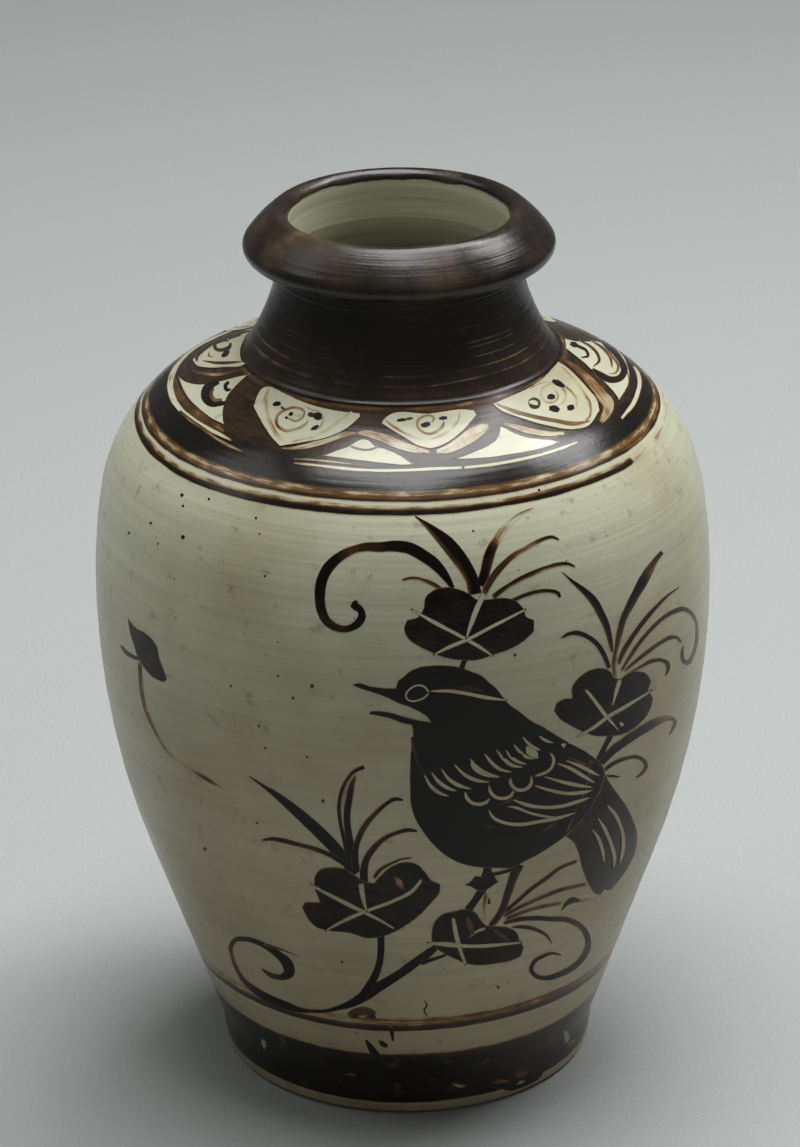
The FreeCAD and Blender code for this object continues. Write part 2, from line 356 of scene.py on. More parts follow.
def spin_coat(name, step, material, on_wall):
    """Turns a coat of the CAD again as a smooth skin, hand-thrown where on_wall says."""
    steps = bpy.context.scene.vase_throwing.steps
    outline = smooth_outline(name, step)
    bm = bmesh.new()
    ring = [bm.verts.new((p.x * MM, 0, p.y * MM)) for p in outline]
    sides = [bm.edges.new((ring[i - 1], ring[i])) for i in range(len(ring))]
    spin_round(bm, ring + sides, steps)
    bmesh.ops.recalc_face_normals(bm, faces=bm.faces)
    if on_wall:
        for vert in bm.verts:
            radius = vert.co.xy.length / MM
            height = vert.co.z / MM
            if abs(radius - skin_radius(height)) < 0.1:
                turn = math.atan2(vert.co.x, -vert.co.y)
                vert.co.xy *= 1 + wobble(turn, height) / radius
    for edge in bm.edges:
        if edge.calc_face_angle(0) > FACET:
            edge.smooth = False
    piece = finish_piece("turned_" + name, bm, material)
    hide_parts(name)


def pool_crease(bend, lift):
    """A thin ring of glaze pooled in the crease under the neck, hollow in section."""
    heights, radii = skin_line()
    corner = Vector((radii[-1], heights[-1]))
    neck = [p for p in seam_outline("iron_glaze") if 2 < p.y - corner.y < 5]
    up = (max(neck, key=lambda p: p.x) - corner).normalized()
    down = Vector((skin_radius(corner.y - 4), corner.y - 4)) - corner
    down.normalize()
    half = up.angle(down) / 2
    centre = corner + (up + down).normalized() * bend / math.sin(half)
    start = (corner + down * bend / math.tan(half) - centre).normalized()
    sweep = math.pi - 2 * half
    bm = bmesh.new()
    ring = []
    parts = 12
    for i in range(parts + 1):
        turned = Matrix.Rotation(-sweep * i / parts, 2) @ start
        spot = centre + turned * (bend - lift)
        ring.append(bm.verts.new((spot.x * MM, 0, spot.y * MM)))
    sides = [bm.edges.new(pair) for pair in zip(ring, ring[1:])]
    faces = spin_round(bm, ring + sides, bpy.context.scene.vase_throwing.steps)
    for face in faces:
        face.normal_update()
        if face.normal.z < 0:
            face.normal_flip()
    finish_piece("crease_glaze", bm, iron_glaze(), 0.05 * MM)


@functools.lru_cache
def skin_tree():
    """The turned slip, for the camera's rays to meet."""
    bm = bmesh.new()
    bm.from_mesh(bpy.data.objects["turned_slip_coat"].data)
    tree = BVHTree.FromBMesh(bm)
    bm.free()
    return tree


def camera_turn():
    """How the camera stands: level towards the back, then pitched down and rolled."""
    settings = bpy.context.scene.vase_camera
    yaw = Matrix.Rotation(settings.yaw, 3, "Z")
    pitch = Matrix.Rotation(math.pi / 2 - settings.pitch, 3, "X")
    return yaw @ pitch @ Matrix.Rotation(-settings.roll, 3, "Z")


@functools.lru_cache(maxsize=None)
def seen(x, y):
    """The turn from the front and the height that a pixel of the photograph shows. A pixel
    just off the vase gives the nearest place on its side."""
    settings = bpy.context.scene.vase_camera
    focal = settings.lens * PHOTO_HEIGHT / SENSOR
    eye = Vector(settings.place)
    for _ in range(REACH):
        aim = Vector(((x - PHOTO_CENTRE[0]) / focal, (PHOTO_CENTRE[1] - y) / focal, -1))
        place = skin_tree().ray_cast(eye, camera_turn() @ aim)[0]
        if place is not None:
            return math.atan2(place.x, -place.y), place.z / MM
        x += 1.0 if x < PHOTO_CENTRE[0] else -1.0
    raise ValueError(f"no slip is seen near pixel {x:.0f}, {y:.0f}")


class Brush:
    """Lays strokes, blots and bands of pigment on the slip, each a little above the last."""

    def __init__(self, turn=0.0, rise=0.0, lift=0.06, step=3.0, cell=8.0, layer=0.004, ior=WET):
        self.bm = bmesh.new()
        self.pigment = self.bm.verts.layers.float.new("pigment")
        self.grain = self.bm.loops.layers.uv.new("grain")
        self.turn = math.radians(turn)
        self.rise = rise
        self.lift = lift
        self.step = step
        self.cell = cell
        self.layer = layer
        self.ior = ior
        self.count = 0

    def place(self, x, y):
        turn, height = seen(round(x, 2), round(y, 2))
        return on_skin(turn + self.turn, height + self.rise, self.lift)

    def lay(self, faces, along):
        """Turns the new faces outwards and writes where each corner lies along the stroke."""
        self.count += 1
        shift = 0.37 * self.count
        for face in faces:
            face.normal_update()
            if face.normal.xy.dot(face.calc_center_median().xy) < 0:
                face.normal_flip()
            for loop in face.loops:
                u, v = along[loop.vert]
                loop[self.grain].uv = (u / GRAIN + shift, v / GRAIN)
        self.lift += self.layer

    def stroke(self, points, ground=None, thin=(1.0, 1.0), width=3.0, pigment=DENSE, rim=1.3):
        """A stroke through (x, y, width, pigment) points. Two-number points get the stroke's
        own width, tapered at both ends. Without a ground of its own it thins to gold at its rim."""
        last = len(points) - 1
        knots = []
        for i, point in enumerate(points):
            taper = 0.35 if i in (0, last) else 1.0
            own = tuple(point) + (width * taper, pigment)[len(point) - 2 :]
            knots.append(own)
        line = trace(knots, self.step)
        count = len(line) - 1
        grid = bmesh.ops.create_grid(self.bm, x_segments=count, y_segments=4, size=1.0)
        along = {}
        travelled = [0.0]
        for a, b in zip(line, line[1:]):
            travelled.append(travelled[-1] + (b - a).xy.length)
        for vert in grid["verts"]:
            i = round((vert.co.x + 1) / 2 * count)
            row = round((vert.co.y + 1) / 2 * 4)
            spot = line[i]
            ahead = (line[min(i + 1, count)] - line[max(i - 1, 0)]).xy.normalized()
            half = max(spot.z, 0.6) / 2
            inner = max(1 - rim / half, 0.4)
            across = (-1, -inner, 0, inner, 1)[row]
            share = (0, thin[0], 1, thin[1], 0)[row]
            if i in (0, count) and spot.w < 1.2:
                share = 0
            side = Vector((ahead.y, -ahead.x)) * half * across
            vert.co = self.place(spot.x + side.x, spot.y + side.y)
            if share:
                vert[self.pigment] = spot.w * share
            elif ground is None:
                vert[self.pigment] = 0.5 if spot.w > 1.15 else min(0.3, 0.45 * spot.w)
            else:
                vert[self.pigment] = ground
            along[vert] = (travelled[i], half * across * 2)
        self.lay(once(face for vert in grid["verts"] for face in vert.link_faces), along)

    def blot(self, outline, ground=0.3, pigment=DENSE, rim=1.4, lean=0.0):
        """A filled shape with a thin rim, its bristle marks leaning that many degrees."""
        points = [Vector((x, -y, 0)) for x, y in trace(outline, OUTLINE_STEP, True, CORNER)]
        verts = [self.bm.verts.new(point) for point in points]
        face = self.bm.faces.new(verts)
        face.normal_update()
        if face.normal.z < 0:
            face.normal_flip()
        inset = bmesh.ops.inset_region(self.bm, faces=[face], thickness=rim, use_boundary=True)["faces"]
        middle = set(face.verts)
        faces = [face, *inset]
        verts = once(vert for part in faces for vert in part.verts)
        for vert in verts:
            vert[self.pigment] = pigment if vert in middle else ground
        geom = faces + verts + once(edge for part in faces for edge in part.edges)
        for axis in (Vector((1, 0, 0)), Vector((0, 1, 0))):
            marks = [point.dot(axis) for point in points]
            spot = min(marks) + self.cell / 2
            while spot < max(marks):
                cut = bmesh.ops.bisect_plane(
                    self.bm, geom=geom, dist=1e-4, plane_co=axis * spot, plane_no=axis
                )
                geom = cut["geom"]
                spot += self.cell
        along = {}
        angle = math.radians(lean)
        faces = [part for part in geom if isinstance(part, bmesh.types.BMFace)]
        for vert in once(vert for part in faces for vert in part.verts):
            x = vert.co.x
            y = -vert.co.y
            u = x * math.cos(angle) - y * math.sin(angle)
            v = x * math.sin(angle) + y * math.cos(angle)
            along[vert] = (u, v)
            vert.co = self.place(x, y)
        self.lay(faces, along)

    def band(self, rows, drift, fade=None):
        """A ring round the vase through (height, pigment) rows. fade(turn, height) thins it."""
        heights = []
        for (low, _), (high, _) in zip(rows, rows[1:]):
            parts = max(1, round((high - low) / 1.2))
            heights += [low + (high - low) * k / parts for k in range(parts)]
        heights.append(rows[-1][0])
        ring = [self.bm.verts.new((1, 0, height)) for height in heights]
        sides = [self.bm.edges.new(pair) for pair in zip(ring, ring[1:])]
        faces = spin_round(self.bm, ring + sides, BAND_STEPS)
        along = {}
        for vert in once(vert for face in faces for vert in face.verts):
            turn = math.atan2(vert.co.x, -vert.co.y)
            height = vert.co.z
            upper = next(i for i, row in enumerate(rows) if row[0] >= height - 1e-4)
            low = rows[max(upper - 1, 0)]
            high = rows[upper]
            share = (height - low[0]) / max(high[0] - low[0], 1e-6)
            pigment = low[1] + (high[1] - low[1]) * share
            vert[self.pigment] = pigment * (fade(turn, height) if fade else 1.0)
            slow = noise.noise(Vector((1.3 * math.sin(turn), 1.3 * math.cos(turn), height / 9)))
            quick = noise.noise(Vector((9 * math.sin(turn), 9 * math.cos(turn), height / 2)))
            height += drift * (3 * slow + 0.5 * quick)
            vert.co = on_skin(turn, height, self.lift)
            along[vert] = (skin_radius(height) * turn * 3, height * 3)
        self.lay(faces, along)

    def finish(self, name):
        depth = bpy.context.scene.vase_throwing.pigment_depth
        return finish_piece(name, self.bm, brushwork(self.ior), depth)


# ---------------------------------------------------------------------------------------------
# Materials
# ---------------------------------------------------------------------------------------------


def add(tree, kind, inputs=None, stops=None, **settings):
    """Adds one shader node, with its properties, its colour stops and its inputs."""
    made = tree.nodes.new("ShaderNode" + kind)
    for name, value in settings.items():
        setattr(made, name, value)
    if stops:
        elements = made.color_ramp.elements
        elements[0].position, elements[0].color = stops[0]
        elements[1].position, elements[1].color = stops[-1]
        for position, colour in stops[1:-1]:
            elements.new(position).color = colour
    for socket, value in (inputs or {}).items():
        if isinstance(value, bpy.types.NodeSocket):
            tree.links.new(value, made.inputs[socket])
        else:
            made.inputs[socket].default_value = value
    return made


def new_material(name):
    """An empty node material, and its tree."""
    material = bpy.data.materials.new(name)
    material.use_nodes = True
    material.node_tree.nodes.clear()
    return material, material.node_tree


def surface(tree, colour, rough, relief, ior=1.5):
    """Ends a material. The relief is how strong it is, how deep in metres, and its height."""
    strength, depth, height = relief
    bump = add(tree, "Bump", {"Strength": strength, "Distance": depth, "Height": height})
    shader = add(
        tree,
        "BsdfPrincipled",
        {"Base Color": colour, "Roughness": rough, "IOR": ior, "Normal": bump.outputs["Normal"]},
    )
    add(tree, "OutputMaterial", {"Surface": shader.outputs[0]})


def slip_tone(tree):
    """Colour and height of the slip: chalky grey cream, clouded over some centimetres, with iron
    specks up to a millimetre across, faint brown smudges of 1 to 3 mm and fine throwing lines."""
    slip = tuple(bpy.context.scene.vase_colours.slip) + (1.0,)
    place = add(tree, "TexCoord").outputs["Object"]
    clouds = add(tree, "TexNoise", {"Vector": place, "Scale": 16.0, "Detail": 4.0})
    cloudy = add(
        tree,
        "ValToRGB",
        {"Fac": clouds.outputs["Fac"]},
        stops=[(0.3, (0.78, 0.74, 0.63, 1)), (0.5, (1, 1, 1, 1)), (0.72, (1.10, 1.12, 1.14, 1))],
    )
    toned = add(
        tree,
        "Mix",
        {0: 1.0, 6: slip, 7: cloudy.outputs["Color"]},
        data_type="RGBA",
        blend_type="MULTIPLY",
    )
    flat = add(tree, "Mapping", {"Vector": place, "Scale": (7.0, 7.0, 480.0)})
    lines = add(tree, "TexNoise", {"Vector": flat.outputs["Vector"], "Scale": 1.0, "Detail": 4.0})
    # The throwing lines also darken and lighten the colour, as painted shade and light on the wheel
    # ridges, besides their bump.
    lined_painted_shade = add(tree, "MapRange", {"Value": lines.outputs["Fac"], 1: 0.3, 2: 0.7, 3: 0.92, 4: 1.06})
    thrown = add(
        tree,
        "Mix",
        {0: 1.0, 6: toned.outputs[2], 7: lined_painted_shade.outputs["Result"]},
        data_type="RGBA",
        blend_type="MULTIPLY",
    )
    height = add(tree, "SeparateXYZ", {0: place}).outputs[2]
    # Darker and browner towards the foot, a stain with painted shade in it, and brighter over the upper
    # body, which is painted light from above.
    low = add(tree, "MapRange", {"Value": height, 1: 0.03, 2: 0.25, 3: 0.0, 4: 1.0})
    stain_and_painted_light = add(
        tree,
        "ValToRGB",
        {"Fac": low.outputs[0]},
        stops=[
            (0.0, (0.80, 0.695, 0.585, 1)),
            (0.55, (0.94, 0.875, 0.79, 1)),
            (0.8, (1.32, 1.345, 1.31, 1)),
            (1.0, (1.17, 1.20, 1.20, 1)),
        ],
    )
    stained_and_lit = add(
        tree,
        "Mix",
        {0: 1.0, 6: thrown.outputs[2], 7: stain_and_painted_light.outputs["Color"]},
        data_type="RGBA",
        blend_type="MULTIPLY",
    )
    colour = stained_and_lit.outputs[2]
    for scale, largest, dark in ((180.0, 0.10, "#3a2a1c"), (330.0, 0.12, "#6a543a")):
        cells = add(tree, "TexVoronoi", {"Vector": place, "Scale": scale})
        channels = add(tree, "SeparateColor", {0: cells.outputs["Color"]})
        chance = add(tree, "Math", {0: channels.outputs[0], 1: 5.0}, operation="POWER")
        size = add(tree, "Math", {0: chance.outputs[0], 1: largest}, operation="MULTIPLY")
        gap = add(tree, "Math", {0: size.outputs[0], 1: cells.outputs["Distance"]}, operation="SUBTRACT")
        speck = add(tree, "Math", {0: gap.outputs[0], 1: 45.0}, operation="MULTIPLY", use_clamp=True)
        colour = add(
            tree,
            "Mix",
            {0: speck.outputs[0], 6: colour, 7: tint(dark)},
            data_type="RGBA",
        ).outputs[2]
    grime = add(tree, "TexNoise", {"Vector": place, "Scale": 170.0, "Detail": 4.0, "Roughness": 0.62})
    smudge = add(tree, "MapRange", {"Value": grime.outputs["Fac"], 1: 0.60, 2: 0.72, 3: 0.0, 4: 0.45})
    colour = add(
        tree,
        "Mix",
        {0: smudge.outputs[0], 6: colour, 7: tint("#71674c")},
        data_type="RGBA",
    ).outputs[2]
    pits = add(tree, "TexNoise", {"Vector": place, "Scale": 500.0, "Detail": 2.0})
    height = add(
        tree, "Math", {0: pits.outputs["Fac"], 1: 0.25, 2: lines.outputs["Fac"]}, operation="MULTIPLY_ADD"
    )
    return colour, height.outputs[0]


@functools.lru_cache
def slip_glaze():
    """White slip under a thin clear wood-fired glaze: a soft satin gloss, not glassy."""
    material, tree = new_material("white_slip_under_clear_glaze")
    colour, height = slip_tone(tree)
    patchy = add(
        tree,
        "TexNoise",
        {"Vector": add(tree, "TexCoord").outputs["Object"], "Scale": 60.0, "Detail": 3.0},
    )
    rough = add(tree, "MapRange", {"Value": patchy.outputs["Fac"], 3: 0.22, 4: 0.38})
    surface(tree, colour, rough.outputs[0], (0.3, 0.0006, height), 1.4)
    return material


@functools.lru_cache
def brushwork(ior):
    """Iron pigment brushed on the slip under the clear glaze: brown-black where the brush was
    full, rust and gold where it ran thin, with streaks a third of a millimetre wide."""
    material, tree = new_material(f"iron_brushwork_{ior * 100:.0f}")
    slip, height = slip_tone(tree)
    pigment = add(tree, "Attribute", attribute_name="pigment")
    grain = add(tree, "UVMap", uv_map="grain")
    combed = add(tree, "Mapping", {"Vector": grain.outputs["UV"], "Scale": (14.0, 150.0, 1.0)})
    bristle = add(tree, "TexNoise", {"Vector": combed.outputs["Vector"], "Scale": 1.0, "Detail": 3.0})
    place = add(tree, "TexCoord").outputs["Object"]
    pools = add(tree, "TexNoise", {"Vector": place, "Scale": 110.0, "Detail": 3.0})
    streak = add(tree, "MapRange", {"Value": bristle.outputs["Fac"], 1: 0.3, 2: 0.7, 3: -0.17, 4: 0.13})
    pooled = add(tree, "MapRange", {"Value": pools.outputs["Fac"], 1: 0.3, 2: 0.7, 3: -0.14, 4: 0.10})
    stir = add(tree, "Math", {0: streak.outputs[0], 1: pooled.outputs[0]}, operation="ADD")
    wet = add(tree, "Math", {0: pigment.outputs["Fac"], 1: 8.0}, operation="MULTIPLY", use_clamp=True)
    stirred = add(
        tree,
        "Math",
        {0: stir.outputs[0], 1: wet.outputs[0], 2: pigment.outputs["Fac"]},
        operation="MULTIPLY_ADD",
    )
    iron = add(
        tree,
        "ValToRGB",
        {"Fac": stirred.outputs[0]},
        stops=[
            (0.0, tint("#ab9261")),
            (0.22, tint("#8d6a36")),
            (0.42, tint("#5f4222")),
            (0.62, tint("#3b2b19")),
            (0.82, tint("#2a1f13")),
            (1.0, tint("#120e09")),
        ],
    )
    cover = add(tree, "MapRange", {"Value": stirred.outputs[0], 1: 0.03, 2: 0.34, 3: 0.0, 4: 1.0})
    colour = add(tree, "Mix", {0: cover.outputs[0], 6: slip, 7: iron.outputs["Color"]}, data_type="RGBA")
    rough = add(tree, "MapRange", {"Value": bristle.outputs["Fac"], 3: 0.15, 4: 0.27})
    surface(tree, colour.outputs[2], rough.outputs[0], (0.22, 0.0006, height), ior)
    return material


# Gold lines that the wheel left on the neck: the height and half the width of each
GOLD_LINES = (
    (256.6, 0.22), (259.5, 0.24), (262.6, 0.16), (265.6, 0.2), (267.1, 0.26), (271.8, 0.2), (276.3, 0.16),
)


@functools.lru_cache
def iron_glaze():
    """Dark iron glaze on the neck and lip: near black where thick, with thin rust and gold
    lines left by the wheel, worn brown on the edges of the lip, glossy."""
    material, tree = new_material("iron_glaze")
    place = add(tree, "TexCoord").outputs["Object"]
    axes = add(tree, "SeparateXYZ", {0: place})
    away = add(
        tree,
        "VectorMath",
        {0: add(tree, "CombineXYZ", {0: axes.outputs[0], 1: axes.outputs[1]}).outputs[0]},
        operation="LENGTH",
    )
    flat = add(tree, "Mapping", {"Vector": place, "Scale": (14.0, 14.0, 900.0)})
    wheel = add(tree, "TexNoise", {"Vector": flat.outputs["Vector"], "Scale": 1.0, "Detail": 4.0})
    patches = add(tree, "TexNoise", {"Vector": place, "Scale": 45.0, "Detail": 5.0, "Roughness": 0.6})
    moved = add(tree, "Mapping", {"Vector": place, "Location": (0.05, 0.11, 0.02)})
    clouds = add(tree, "TexNoise", {"Vector": moved.outputs["Vector"], "Scale": 14.0, "Detail": 2.0})
    lines = add(tree, "MapRange", {"Value": wheel.outputs["Fac"], 1: 0.60, 2: 0.74, 3: 0.0, 4: 0.5})
    sway = add(
        tree, "Math", {0: clouds.outputs["Fac"], 1: 0.004, 2: axes.outputs[2]}, operation="MULTIPLY_ADD"
    )
    gold = lines.outputs[0]
    for height, half in GOLD_LINES:
        line = add(
            tree, "Math", {0: sway.outputs[0], 1: (height + 2.0) * MM, 2: half * MM}, operation="COMPARE"
        )
        gold = add(tree, "Math", {0: gold, 1: line.outputs[0]}, operation="MAXIMUM").outputs[0]
    broken = add(tree, "MapRange", {"Value": patches.outputs["Fac"], 1: 0.44, 2: 0.64, 3: 0.0, 4: 0.6})
    thread = add(tree, "Math", {0: gold, 1: broken.outputs[0]}, operation="MULTIPLY")
    on_lip = add(tree, "MapRange", {"Value": axes.outputs[2], 1: 0.2840, 2: 0.2850, 3: 0.30, 4: 0.66})
    worn = add(tree, "MapRange", {"Value": patches.outputs["Fac"], 1: 0.40, 2: 0.72, 3: 0.0, 4: 1.0})
    brown = add(tree, "Math", {0: worn.outputs[0], 1: on_lip.outputs[0]}, operation="MULTIPLY")
    tan = add(tree, "MapRange", {"Value": clouds.outputs["Fac"], 1: 0.50, 2: 0.8, 3: 0.0, 4: 0.14})
    warm = add(tree, "Math", {0: brown.outputs[0], 1: tan.outputs[0]}, operation="ADD")
    low = add(tree, "MapRange", {"Value": axes.outputs[2], 1: 0.252, 2: 0.268, 3: 0.45, 4: 0.0})
    rusty = add(
        tree,
        "Math",
        {0: low.outputs[0], 1: wheel.outputs["Fac"], 2: warm.outputs[0]},
        operation="MULTIPLY_ADD",
    )
    thin = add(tree, "Math", {0: rusty.outputs[0], 1: thread.outputs[0]}, operation="ADD")
    base = tuple(bpy.context.scene.vase_colours.iron) + (1.0,)
    iron = add(
        tree,
        "ValToRGB",
        {"Fac": thin.outputs[0]},
        stops=[(0.0, base), (0.3, tint("#271d12")), (0.6, tint("#41341f")), (1.0, tint("#806b40"))],
    )
    wavy = add(tree, "TexNoise", {"Vector": place, "Scale": 90.0, "Detail": 3.0})
    edge = add(
        tree, "Math", {0: wavy.outputs["Fac"], 1: 0.0016, 2: axes.outputs[2]}, operation="MULTIPLY_ADD"
    )
    pale = add(tree, "MapRange", {"Value": edge.outputs[0], 1: 0.2976, 2: 0.2980, 3: 1.0, 4: 0.0})
    inner = add(tree, "MapRange", {"Value": away.outputs["Value"], 1: 0.0380, 2: 0.0384, 3: 1.0, 4: 0.0})
    bare = add(tree, "Math", {0: pale.outputs[0], 1: inner.outputs[0]}, operation="MULTIPLY")
    colour = add(
        tree, "Mix", {0: bare.outputs[0], 6: iron.outputs["Color"], 7: tint("#b1b09a")}, data_type="RGBA"
    )
    uneven = add(
        tree,
        "Math",
        {0: patches.outputs["Fac"], 1: 2.0, 2: wheel.outputs["Fac"]},
        operation="MULTIPLY_ADD",
    )
    rough = add(tree, "MapRange", {"Value": patches.outputs["Fac"], 1: 0.3, 2: 0.7, 3: 0.18, 4: 0.40})
    surface(tree, colour.outputs[2], rough.outputs[0], (0.25, 0.0006, uneven.outputs[0]))
    return material


@functools.lru_cache
def inside_glaze():
    """The thin pale glaze inside, olive grey over the clay, with wheel lines."""
    material, tree = new_material("pale_glaze_inside")
    place = add(tree, "TexCoord").outputs["Object"]
    flat = add(tree, "Mapping", {"Vector": place, "Scale": (10.0, 10.0, 300.0)})
    wheel = add(tree, "TexNoise", {"Vector": flat.outputs["Vector"], "Scale": 1.0, "Detail": 4.0})
    colour = add(
        tree,
        "ValToRGB",
        {"Fac": wheel.outputs["Fac"]},
        stops=[(0.3, tint("#aeac94")), (0.7, tint("#cbcab0"))],
    )
    height = add(tree, "SeparateXYZ", {0: place}).outputs[2]
    # Painted shade darkens the glaze down inside the neck, and painted light brightens it towards the
    # mouth.
    up = add(tree, "MapRange", {"Value": height, 1: 0.250, 2: 0.292, 3: 0.0, 4: 1.0})
    painted_shade_inside = add(
        tree,
        "ValToRGB",
        {"Fac": up.outputs[0]},
        stops=[(0.0, (0.62, 0.61, 0.58, 1)), (0.6, (0.9, 0.89, 0.86, 1)), (1.0, (1.35, 1.35, 1.32, 1))],
    )
    colour = add(
        tree,
        "Mix",
        {0: 1.0, 6: colour.outputs["Color"], 7: painted_shade_inside.outputs["Color"]},
        data_type="RGBA",
        blend_type="MULTIPLY",
    )
    surface(tree, colour.outputs[2], 0.4, (0.3, 0.0008, wheel.outputs["Fac"]))
    return material


@functools.lru_cache
def bare_clay():
    """Unglazed stoneware, buff grey with sand grains near half a millimetre, quite matt."""
    material, tree = new_material("bare_stoneware")
    place = add(tree, "TexCoord").outputs["Object"]
    grit = add(tree, "TexNoise", {"Vector": place, "Scale": 1400.0, "Detail": 3.0})
    burnt = add(tree, "TexNoise", {"Vector": place, "Scale": 40.0, "Detail": 3.0})
    mixed = add(tree, "Math", {0: grit.outputs["Fac"], 1: burnt.outputs["Fac"]}, operation="ADD")
    colour = add(
        tree,
        "ValToRGB",
        {"Fac": add(tree, "Math", {0: mixed.outputs[0], 1: 0.5}, operation="MULTIPLY").outputs[0]},
        stops=[(0.35, tint("#6f6251")), (0.5, tint("#8c7f6a")), (0.65, tint("#a3967f"))],
    )
    surface(tree, colour.outputs["Color"], 0.85, (0.5, 0.0003, grit.outputs["Fac"]))
    return material


# ---------------------------------------------------------------------------------------------
# The motifs, in pixels of the photograph: (x, y), or (x, y, width, pigment)
# ---------------------------------------------------------------------------------------------

TOP_LEAVES = (
    ((1, 1), (
        (453, 588, 4, 1.2), (446, 577, 8, 1.3), (436, 565, 11, 1.3), (424, 556, 12, 1.3),
        (409, 548, 12, 1.3), (394, 546, 11, 1.2), (380, 547, 10, 0.9), (365, 547, 9, 0.75),
        (350, 551, 9, 0.7), (338, 558, 10, 1.0), (328, 568, 11, 1.2), (322, 580, 11, 1.2),
        (320, 595, 11, 1.1), (321, 608, 10, 1.0), (326, 620, 9, 0.8), (335, 627, 8, 0.8),
        (347, 629, 7, 0.9), (356, 625, 8, 1.2), (362, 616, 8, 1.3), (360, 609, 7, 1.3),
        (354, 605, 8, 1.3), (357, 601, 3, 1.2),
    )),
    ((1, 1), (
        (402, 580, 2, 0.5), (410, 578, 3, 0.5), (424, 580, 4, 0.6), (435, 585, 5, 0.6),
        (442, 590, 5, 0.6),
    )),
    ((0.4, 1), (
        (415, 516, 1, 1.2), (423, 522, 4, 1.2), (434, 531, 9, 1.2), (447, 543, 14, 1.3),
        (457, 555, 15, 1.3), (466, 568, 14, 1.3), (472, 580, 13, 1.3), (475, 594, 13, 1.3),
    )),
    ((1, 0.7), (
        (533, 508, 1, 0.25), (524, 512, 3, 0.35), (512, 520, 6, 0.3), (503, 530, 8, 0.3),
        (496, 541, 9, 0.4), (492, 548, 10, 0.95), (488, 560, 11, 1.0), (485, 572, 10, 1.1),
        (481, 586, 10, 1.3),
    )),
    ((1, 1), (
        (559, 540, 2, 1.0), (553, 537, 3, 0.9), (543, 539, 4, 0.7), (533, 544, 5, 0.5),
        (522, 550, 5, 0.45), (510, 558, 6, 0.6), (500, 568, 7, 0.7), (491, 580, 7, 0.6),
        (484, 592, 7, 0.5),
    )),
    ((1, 0.6), (
        (575, 567, 2, 1.0), (569, 564, 3, 1.0), (560, 564, 4, 0.7), (548, 567, 4, 0.7),
        (533, 573, 5, 0.8), (518, 580, 5, 0.9), (505, 588, 5, 0.9), (493, 597, 5, 0.8),
    )),
    ((1, 1), (
        (560, 597, 3, 1.2), (558, 593, 4, 1.1), (551, 591, 4, 1.0), (540, 591, 4, 0.8),
        (528, 594, 4, 0.8), (511, 601, 4, 0.7),
    )),
    ((1, 1), ((466, 658, 5, 1.3), (463, 664, 5, 1.3), (461, 671, 6, 1.3))),
)
TOP_PETALS = (
    (424, 607), (425, 598), (432, 591), (446, 587), (458, 589), (468, 593), (478, 600), (490, 599),
    (505, 598), (516, 601), (523, 608), (527, 617), (534, 620), (534, 631), (525, 640), (510, 649),
    (493, 655), (478, 660), (460, 660), (446, 658), (433, 653), (418, 646), (407, 637), (404, 629),
    (407, 620), (418, 617),
)
TOP_CUTS = (
    ((411, 609, 2, 0), (432, 621, 4, 0), (464, 638, 4, 0), (478, 646, 4, 0), (493, 656, 2, 0)),
    ((433, 655, 2, 0), (449, 647, 4, 0), (466, 640, 4, 0), (493, 626, 4, 0), (526, 609, 2, 0)),
    ((485, 592, 5, 0), (478, 606, 6, 0), (471, 624, 5, 0), (466, 639, 2, 0)),
)
